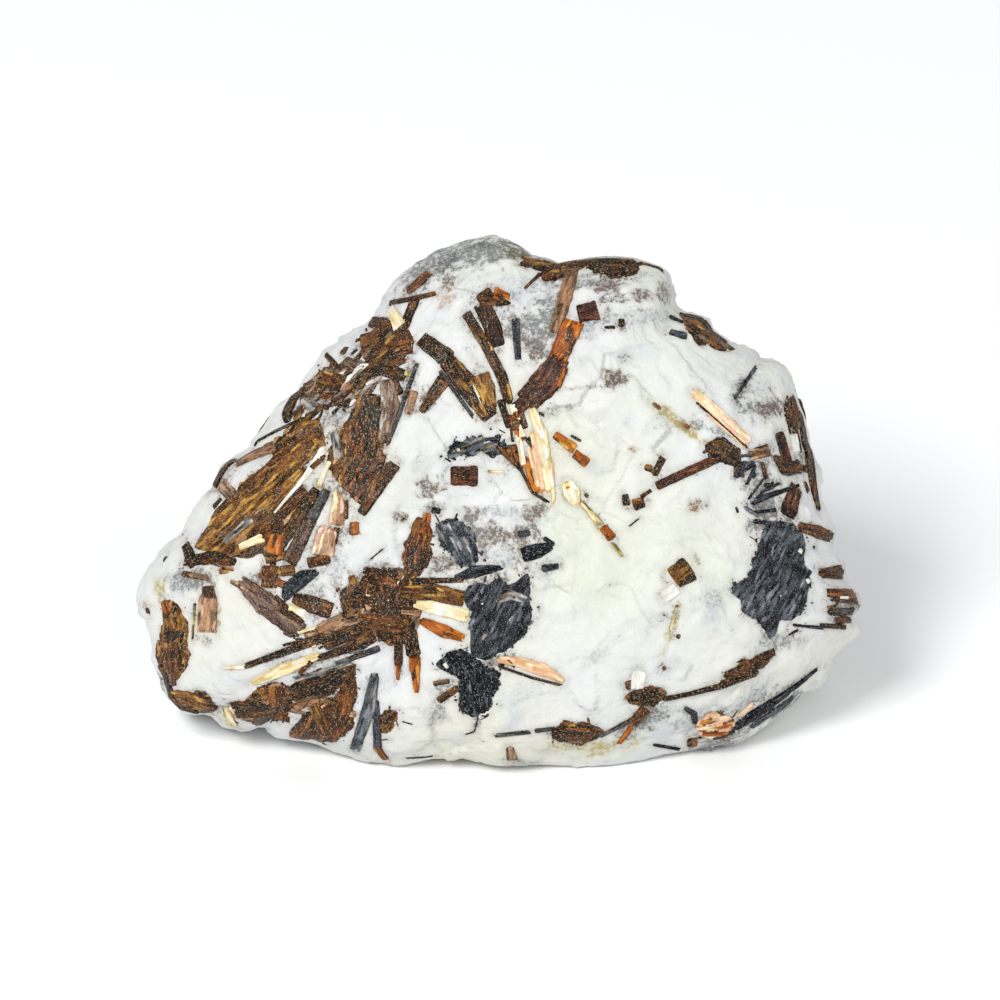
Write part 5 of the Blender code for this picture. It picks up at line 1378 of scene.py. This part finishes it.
# (u, v, half length, half width, bearing, tint, strength), the palest first, with the others over them.
STAINS_AND_SHADE = [
    (0.5, 26.5, 9.0, 2.4, 5, "pale_grey", 0.5), (-6.8, 24.6, 2.2, 1.0, 100, "pale_grey", 0.5),
    (17.0, 22.8, 5.0, 1.6, 0, "pale_grey", 0.7), (0.6, -7.0, 5.6, 2.4, 0, "pale_grey", 0.6),
    (0.4, -1.4, 4.4, 1.0, 0, "pale_grey", 0.75), (5.6, -9.4, 1.8, 1.6, 0, "pale_grey", 0.5),
    (3.0, -24.4, 2.8, 1.8, 30, "pale_grey", 0.4), (26.6, -12.4, 3.0, 2.4, 60, "pale_grey", 0.6),
    (33.0, -18.4, 4.0, 2.0, 30, "pale_grey", 0.5), (-20.6, -8.6, 3.2, 1.8, 70, "pale_grey", 0.6),
    (33.2, 14.2, 1.6, 2.0, 60, "pale_grey", 0.6), (36.6, -12.8, 2.6, 2.4, 40, "pale_grey", 0.4),
    (25.0, -27.4, 5.0, 1.8, 10, "pale_grey", 0.75), (31.8, -24.6, 3.8, 1.6, 35, "pale_grey", 0.75),
    # The grey and soot ovals over the cap at the top are partly grey stone, partly painted shade.
    (-20.0, 13.0, 6.0, 3.0, 44, "pale_grey", 0.6), (-6.8, 30.2, 8.4, 2.5, 16, "grey", 0.9),
    (-1.0, 31.3, 4.0, 1.9, 4, "grey", 0.9), (2.1, 31.0, 2.5, 1.5, -20, "moss", 1.0),
    (-10.4, 27.4, 3.4, 1.6, 50, "grey", 0.75), (-6.4, 29.8, 1.4, 1.0, 20, "soot", 0.75),
    (-2.6, 31.8, 1.6, 0.6, 0, "soot", 0.6), (-6.4, 27.4, 1.3, 1.1, 0, "taupe", 0.7),
    (-7.0, 25.2, 1.8, 1.2, 60, "blush", 0.5), (3.6, 21.5, 2.2, 4.4, 90, "grey", 0.85),
    (4.6, 19.0, 2.0, 2.4, 0, "taupe", 0.95), (6.2, 22.8, 4.6, 2.4, 78, "grey", 0.8),
    (-1.8, 22.8, 3.8, 2.0, 20, "grey", 0.55), (-3.4, 17.8, 3.2, 0.8, 110, "grey", 0.45),
    (-9.4, 12.2, 2.2, 1.3, 70, "taupe", 0.7), (-11.4, 15.4, 3.4, 1.2, 75, "taupe", 0.7),
    (10.0, 14.0, 3.6, 0.3, 6, "grey", 0.6), (6.2, 11.0, 1.8, 1.1, 0, "soot", 0.6),
    (8.6, 11.6, 0.7, 0.5, 0, "soot", 0.7), (13.8, 27.0, 2.2, 1.7, 10, "taupe", 0.95),
    (17.5, 25.5, 1.7, 1.3, 0, "taupe", 0.9), (20.4, 26.0, 1.7, 1.3, 80, "taupe", 0.8),
    (14.2, 25.2, 2.0, 0.6, 4, "soot", 0.65), (10.6, 21.4, 3.0, 1.4, 10, "grey", 0.6),
    (14.2, 15.2, 2.0, 1.4, 10, "umber", 1.0), (14.2, 15.2, 1.9, 1.4, 10, "soot", 0.35),
    (15.6, 17.8, 1.1, 0.9, 0, "taupe", 0.7), (16.5, 28.2, 3.4, 1.0, 0, "grey", 0.6),
    (11.8, 27.2, 2.2, 1.4, 0, "taupe", 0.4), (-9.0, 1.6, 1.8, 1.6, 0, "taupe", 0.9),
    (-3.6, -1.9, 1.7, 1.1, 0, "taupe", 0.9), (-1.0, -4.4, 2.7, 1.6, 0, "taupe", 0.95),
    (4.2, -1.6, 1.9, 1.5, 0, "taupe", 0.9), (-7.2, -8.0, 2.1, 1.5, 0, "taupe", 0.9),
    (-8.6, -0.8, 1.6, 1.1, 20, "grey", 0.8), (3.2, -4.2, 1.9, 1.2, 0, "grey", 0.9),
    (-2.0, -10.4, 3.4, 1.1, 10, "grey", 0.75), (-6.2, -4.4, 1.8, 2.6, 100, "grey", 0.6),
    (-12.5, -2.2, 1.2, 1.0, 0, "taupe", 0.8), (-0.4, -20.2, 3.0, 1.2, 20, "grey", 0.8),
    (-4.8, -20.4, 2.8, 1.5, -30, "moss", 0.85), (-3.4, -27.4, 2.0, 1.4, 60, "grey", 0.45),
    (-38.8, -9.9, 3.4, 1.8, 8, "grey", 0.9), (2.2, -33.0, 2.6, 0.9, 0, "grey", 0.6),
    (-42.6, -11.0, 1.8, 1.1, 100, "olive", 0.8), (-30.4, -10.8, 2.2, 1.3, 0, "grey", 0.7),
    (-36.4, -14.4, 2.8, 1.3, 95, "taupe", 0.6), (10.2, 30.2, 8.0, 0.8, 0, "soot", 0.7),
    (9.0, 27.4, 3.0, 1.3, 0, "grey", 0.7), (-8.0, -26.8, 1.8, 1.5, 0, "grey", 0.7),
    (-20.4, 1.0, 2.0, 3.2, 80, "taupe", 0.7), (-21.0, -4.4, 1.8, 3.2, 100, "taupe", 0.6),
    (-27.2, -20.2, 2.6, 1.6, 20, "taupe", 0.6), (-3.4, -3.4, 2.6, 1.4, 0, "grey", 0.7),
    (2.6, -5.2, 2.4, 1.4, 0, "taupe", 0.7), (-22.0, -15.4, 2.8, 1.4, -35, "grey", 0.6),
    (-23.0, -20.3, 5.0, 0.9, 20, "grey", 0.6), (-24.6, -10.6, 3.2, 1.8, -30, "grey", 0.6),
    (-6.8, -23.4, 2.6, 1.2, 15, "grey", 0.7), (31.6, 3.6, 3.2, 1.9, 40, "grey", 0.75),
    (33.0, -1.6, 3.0, 2.2, 70, "grey", 0.95), (32.8, 1.4, 2.6, 1.6, 40, "grey", 0.8),
    (32.8, -1.8, 1.8, 1.3, 0, "soot", 0.6), (36.0, -2.4, 1.6, 1.4, 0, "soot", 0.5),
    (33.6, 11.4, 3.0, 1.8, 20, "taupe", 0.95), (30.6, 11.6, 1.4, 1.2, 0, "grey", 0.7),
    (24.6, 9.4, 1.2, 0.9, 0, "grey", 0.8), (27.4, 8.6, 1.6, 0.9, 0, "grey", 0.9),
    (24.8, -0.5, 1.7, 1.1, 20, "taupe", 0.75), (24.2, -0.9, 1.4, 0.8, 20, "rust", 0.4),
    # The grey and soot ovals on the lower right corner are partly painted shade, where it faces down.
    (30.2, 14.0, 2.2, 1.2, 58, "soot", 0.75), (35.4, -17.6, 3.6, 1.4, 15, "grey", 0.7),
    (44.4, -13.4, 1.4, 1.0, 0, "soot", 0.6), (18.4, -27.6, 4.2, 1.7, 30, "grey", 0.8),
    (36.0, -26.4, 3.6, 1.5, 36, "grey", 0.9), (34.2, -25.6, 6.6, 1.5, 36, "soot", 0.6),
    (17.4, -26.8, 2.4, 1.6, 30, "soot", 0.5), (28.0, -30.2, 4.4, 1.6, 18, "grey", 0.95),
    (27.0, -22.6, 2.4, 0.9, 20, "grey", 0.4), (-28.5, 1.5, 9.6, 3.6, 44, "umber", 0.6),
    (-35.0, 2.6, 3.0, 1.4, 45, "umber", 0.6), (-17.0, -12.4, 4.6, 4.0, 0, "umber", 0.5),
    (-15.4, 8.0, 5.4, 2.4, 80, "grey", 0.6), (-20.4, 9.6, 3.4, 1.8, 44, "taupe", 0.4),
    (-29.0, -9.6, 2.4, 1.4, 0, "grey", 0.6), (-42.8, -22.8, 1.6, 0.8, 110, "soot", 0.7),
    (-40.6, -19.0, 4.4, 1.4, 85, "rust", 0.35), (-30.0, -26.2, 9.0, 1.4, 4, "umber", 0.4),
    (-20.4, -26.0, 2.6, 1.6, 60, "umber", 0.5), (-34.4, -27.4, 1.6, 1.0, 60, "olive", 0.5),
    (9.0, -30.8, 5.0, 0.9, 4, "olive", 0.7), (12.6, -31.2, 3.4, 0.9, 20, "olive", 0.8),
    (16.6, -30.8, 2.4, 0.9, 40, "olive", 0.5), (21.4, -16.0, 4.6, 0.7, 72, "olive", 0.7),
    (22.3, 9.7, 4.6, 0.8, -36, "olive", 0.95), (21.9, 10.0, 3.0, 0.4, -36, "rust", 0.3),
    (11.6, -2.4, 3.4, 0.8, -58, "olive", 0.5), (-44.4, -13.2, 1.0, 0.8, 0, "rust", 0.5),
    (16.5, 6.4, 0.7, 0.5, 0, "rust", 0.8), (5.0, 5.4, 2.4, 5.0, 100, "blush", 0.3),
    (36.0, 5.0, 2.4, 6.0, 95, "grey", 0.35), (1.0, 5.2, 2.6, 1.2, -20, "taupe", 0.4),
    (42.8, -12.8, 2.4, 2.6, 90, "taupe", 0.4),
]  # fmt: skip


def drifted(p):
    """The clean skin's colour: white, drifted to ivory and cool grey by broad noise, and greenest in a
    bell-shaped place right of the middle."""
    colour = WHITE + (IVORY - WHITE) * (0.2 + 0.5 * swell(p, 26, 21)[..., None]).clip(0, 1)
    green_middle = np.exp(-(((p[..., :1] - 14) / 15) ** 2) - ((p[..., 1:2] + 4) / 17) ** 2)
    colour = colour + (MINT - colour) * (0.3 * swell(p, 17, 22)[..., None] + 0.6 * green_middle).clip(0, 1)
    cooler = (0.9 * swell(p, 6, 23)[..., None] - 0.2 - 0.5 * green_middle).clip(0, 1)
    return colour + (COOL - colour) * 0.7 * cooler


def lay_mark(dose, mark_colour, share, name):
    """The dose and colour with a share of one more colour: what is clean takes on that share, and the
    colour moves towards it by what the share is of the new dose."""
    total = dose + (1 - dose) * share
    moved = (share / np.maximum(total, 1e-6)).clip(0, 1)[..., None]
    return total, mark_colour + (MARKS[name] - mark_colour) * moved


print("stains:", len(STAINS_AND_SHADE))

# %% Lay the stains and the painted shade
CRACK = 0.05  # width of a crack between slabs, as a share of their size
dose, mark_colour = np.zeros(smooth.shape[:2]), np.broadcast_to(MARKS["umber"], smooth.shape)
front = (directions[..., 2] > 0).astype(float)
fray = 0.35 * swell(smooth, 1.9, 24) + 0.28 * swell(smooth, 0.8, 25)
cloudy = (0.7 * swell(smooth, 7, 33) + 0.5 * swell(smooth, 2.6, 34) - 0.3).clip(0, 0.4)
dose, mark_colour = lay_mark(dose, mark_colour, cloudy, "pale_grey")
for u, v, half_length, half_width, bearing, name, strength in STAINS_AND_SHADE:
    way = math.radians(bearing)
    along = ((smooth[..., 0] - u) * math.cos(way) + (smooth[..., 1] - v) * math.sin(way)) / half_length
    across = ((smooth[..., 1] - v) * math.cos(way) - (smooth[..., 0] - u) * math.sin(way)) / half_width
    oval = ((1.2 - np.hypot(along, across) + fray) * 1.4).clip(0, 1)
    dose, mark_colour = lay_mark(dose, mark_colour, strength * front * oval, name)
behind = (swell(smooth, 5, 31) + 0.5 * swell(smooth, 1.8, 32) - 0.55).clip(0, 0.6) * (1 - front)
dose, mark_colour = lay_mark(dose, mark_colour, behind, "taupe")
# Browner in a ring right round each crystal.
beside = (1 - near / 0.8).clip(0, 1) * (0.4 + 0.35 * swell(smooth, 2.3, 26)).clip(0, 0.7)
dose, mark_colour = lay_mark(dose, mark_colour, beside, "umber")
crack = (1 - big_border / CRACK).clip(0, 1) * (swell(smooth, 4.5, 27) > 0.1)
dose, mark_colour = lay_mark(dose, mark_colour, 0.3 * crack, "grey")
tint = np.concatenate([drifted(smooth), dose[..., None]], axis=-1)
lump = Piece()
lump.add(skin, tint, mark_colour, lowest=0.0)  # it rests on a flat break, so its underside is flattened there
lump.make("feldspar_lump", feldspar_skin, "feldspar", ["feldspar"], smooth=True)
triangles = 2 * (skin.shape[0] - 1) * skin.shape[1]
print("lump triangles:", triangles, "stained share:", (dose > 0.3).mean().round(2))

# %% [markdown]
# ## Materials as expressions
# A Principled shader wants numbers that change over the surface. Writing the node graph by hand is long, so
# a small class wraps a socket and lets plain sums and products add the Math nodes.


# %% Sockets that add and multiply
class Signal:
    """A number or colour on a socket. Sums, differences and products of numbers add a Math node."""

    def __init__(self, finish, socket):
        self.finish, self.socket = finish, socket

    def math(self, operation, other, flipped=False, clamp=False):
        """Adds a Math node on this signal and another, or a number."""
        values = {0: other, 1: self} if flipped else {0: self, 1: other}
        return self.finish.node("ShaderNodeMath", {"operation": operation, "use_clamp": clamp}, values)

    def __add__(self, other):
        return self.math("ADD", other)

    def __sub__(self, other):
        return self.math("SUBTRACT", other)

    def __rsub__(self, other):
        return self.math("SUBTRACT", other, flipped=True)

    def __mul__(self, other):
        return self.math("MULTIPLY", other)

    __radd__, __rmul__ = __add__, __mul__

    def clamped(self):
        return self.math("ADD", 0.0, clamp=True)


class Finish:
    """The nodes of one material."""

    def __init__(self, material, **constants):
        self.tree = material.node_tree
        self.shader = self.tree.nodes["Principled BSDF"]
        for name, value in constants.items():
            self.shader.inputs[name.replace("_", " ")].default_value = value

    def node(self, kind, settings, values, output=0):
        """Adds a node, sets it, then gives its sockets numbers or links, and returns one of its outputs."""
        made = self.tree.nodes.new(kind)
        for name, value in settings.items():
            setattr(made, name, value)
        for socket, value in values.items():
            if isinstance(value, Signal):
                self.tree.links.new(value.socket, made.inputs[socket])
            else:
                made.inputs[socket].default_value = value
        return Signal(self, made.outputs[output])

    def feed(self, name, signal):
        """Links a signal to one of the shader's sockets."""
        self.tree.links.new(signal.socket, self.shader.inputs[name])

    def attribute(self, name, output):
        return self.node("ShaderNodeAttribute", {"attribute_name": name}, {}, output)

    def noise(self, vector, scale, detail):
        return self.node("ShaderNodeTexNoise", {}, {"Vector": vector, "Scale": scale, "Detail": detail})

    def stretch(self, vector, scale):
        return self.node("ShaderNodeMapping", {}, {"Vector": vector, "Scale": scale})

    def mix(self, factor, first, second, blend="MIX"):
        """Two colours mixed. Sockets 6 and 7 and output 2 are the node's colour ones."""
        settings = {"data_type": "RGBA", "blend_type": blend}
        return self.node("ShaderNodeMix", settings, {0: factor, 6: first, 7: second}, 2)

    def bump(self, height, distance, strength):
        return self.node("ShaderNodeBump", {}, {"Height": height, "Distance": distance, "Strength": strength})


# %% [markdown]
# ## Feldspar skin
# White feldspar has a fine sugary grain, and stains that sit between its grains. The grain could be
# modelled, but it is finer than any mesh, so it is a bump of three noises, and two of them vary the gloss.
# Two more noises break up the dose of each stain, and of the painted shade, into grains.

# %% Feldspar material
skin_finish = Finish(feldspar_skin, IOR=1.53, Specular_IOR_Level=0.4)
place = skin_finish.node("ShaderNodeTexCoord", {}, {}, "Object")
sugar = skin_finish.noise(place, 900.0, 4.0)
powder = skin_finish.noise(place, 3200.0, 2.0)
cloud = skin_finish.noise(place, 330.0, 5.0)
grains = skin_finish.noise(place, 2100.0, 8.0)
dosed = skin_finish.attribute("tint", "Alpha")
dust = skin_finish.noise(place, 5200.0, 3.0)
granular = (dosed + grains * 2.2 + dust * 1.6 - 2.45).clamped() * 1.8
share = (granular * 0.7 + dosed * 0.45).clamped() * 0.95
darkening = (cloud * 1.8 - 0.8).clamped() * 0.28
shaded = skin_finish.mix(darkening, skin_finish.attribute("tint", "Color"), (0.62, 0.64, 0.66, 1), "MULTIPLY")
bright = (sugar * 3.0 - 1.75).clamped() * 0.3
clean = skin_finish.mix(bright, shaded, (0.85, 0.85, 0.84, 1))
skin_finish.feed("Base Color", skin_finish.mix(share, clean, skin_finish.attribute("grain", "Vector")))
skin_finish.feed("Roughness", 0.42 + cloud * 0.2 + sugar * 0.1)
skin_finish.feed("Normal", skin_finish.bump(sugar + powder * 0.35 + cloud * 1.2, 0.00022, 0.7))

# %% [markdown]
# ## Bronze mica
# The sheets have fine lines along them, brown blotches and a soft sheen between glass and metal. Under an
# even light little of the sheen shows, so the gloss is low and colour does the most. Noise drawn out along
# the grain gives the lines, and rounder noise the blotches and specks. The black needles have the same
# nodes with colours of their own.


# %% Crystal materials
def fill_crystal(material, dusk, gleam, spark, depth, roughness, **constants):
    """Lines along the grain, blotches and specks for a crystal: lines and blotches darken the tint towards
    the dusk colour, patches take the gleam colour, and specks light it with the spark colour."""
    finish = Finish(material, **constants)
    grain = finish.attribute("grain", "Vector")
    lines = finish.noise(finish.stretch(grain, (0.9, 6.0, 1.0)), 1.0, 4.0)
    blotch = finish.noise(finish.stretch(grain, (1.7, 2.6, 1.0)), 1.0, 6.0)
    patches = finish.noise(finish.stretch(grain, (1.6, 2.2, 2.0)), 1.0, 6.0)
    specks = finish.noise(finish.stretch(grain, (5.0, 8.0, 1.0)), 1.0, 3.0)
    tinted, dark_share = finish.attribute("tint", "Color"), finish.attribute("tint", "Alpha")
    dusty = (blotch * 4.2 + lines * 1.4 - 2.6).clamped() * dark_share * depth
    dim = finish.mix(dusty, tinted, dusk, "MULTIPLY")
    lit = finish.mix((patches * 6.0 - 3.5).clamped() * dark_share * 0.5, dim, gleam)
    finish.feed("Base Color", finish.mix((specks * 7.0 - 4.0).clamped() * dark_share * 0.7, lit, spark))
    finish.feed("Roughness", roughness + blotch * 0.3)
    finish.feed("Normal", finish.bump(lines + blotch * 0.7 + specks * 0.4, 0.0001, 0.6))


fill_crystal(
    bronze_mica, (0.22, 0.15, 0.1, 1), (0.33, 0.17, 0.04, 1), (0.72, 0.55, 0.32, 1), 0.8, 0.22,
    Metallic=0.1, IOR=1.6, Specular_IOR_Level=0.12, Coat_Weight=0.02, Coat_Roughness=0.2,
)  # fmt: skip
fill_crystal(
    black_fibre, (0.3, 0.31, 0.33, 1), (0.06, 0.068, 0.076, 1), (0.4, 0.42, 0.44, 1), 0.8, 0.4,
    Metallic=0.0, IOR=1.5, Specular_IOR_Level=0.08,
)  # fmt: skip
print("materials:", len(bpy.data.materials))

# %% [markdown]
# ## Ground, light and camera
# The stone stands on a plain white ground under soft light: a broad lamp over the left shoulder of the
# camera, a weaker one on its right and a bright even sky. The camera looks square on to the showy face from
# far away, through a long lens.

# %% Ground
def make_ground(half=3.0, level=-0.0002):
    """A flat square just under the stone."""
    mesh = bpy.data.meshes.new("ground")
    corners = [(-half, -half, level), (half, -half, level), (half, half, level), (-half, half, level)]
    mesh.from_pydata(corners, [], [(0, 1, 2, 3)])
    ground = bpy.data.objects.new("ground", mesh)
    bpy.context.scene.collection.objects.link(ground)
    paper = new_material("paper")
    Finish(paper, Base_Color=(0.95, 0.95, 0.95, 1), Roughness=0.9)
    mesh.materials.append(paper)
    return ground


make_ground()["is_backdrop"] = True

# %% Light
SKY_COLOUR, SKY_STRENGTH = (0.96, 0.98, 1.0, 1), 0.62
# (place, watts, width)
LAMPS = {"key": ((-0.55, -0.75, 1.05), 13.0, 0.5), "fill": ((0.9, -0.6, 0.5), 2.5, 0.8)}
world = bpy.data.worlds.new("sky")
bpy.context.scene.world = world
world.use_nodes = True
world.node_tree.nodes["Background"].inputs["Color"].default_value = SKY_COLOUR
world.node_tree.nodes["Background"].inputs["Strength"].default_value = SKY_STRENGTH


def lamp(name, place, energy, size, aim=(0, 0, 0.03)):
    """A square lamp, tipped and turned from straight down so that it faces the stone."""
    light = bpy.data.lights.new(name, "AREA")
    light.energy, light.size = energy, size
    made = bpy.data.objects.new(name, light)
    made.location = place
    gap = np.array(aim) - place
    tip = math.acos(-gap[2] / np.linalg.norm(gap))
    made.rotation_euler = (tip, 0, math.atan2(gap[1], gap[0]) - math.pi / 2)
    bpy.context.scene.collection.objects.link(made)


for name, settings in LAMPS.items():
    lamp(name, *settings)
print("lamps:", len(LAMPS))

# %% Camera
PHOTO_SPAN = 125 * MM  # what the square picture spans at the face
LENS, SENSOR = 500.0, 36.0
camera = bpy.data.cameras.new("camera")
camera.lens, camera.sensor_width = LENS, SENSOR
camera.clip_end = 20
distance = PHOTO_SPAN * LENS / SENSOR
eye = bpy.data.objects.new("camera", camera)
eye.location = to_frame(np.array([0.0, 0.0, distance / MM]))
eye.rotation_euler = (math.pi / 2 - FACE_LEAN, 0, 0)
bpy.context.scene.collection.objects.link(eye)
bpy.context.scene.camera = eye
bpy.context.scene.view_settings.view_transform = "Standard"
print("camera is", round(distance, 3), "m away")

# %% Sizes
[[list(corner) for corner in box] for box in (solid_box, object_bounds())]
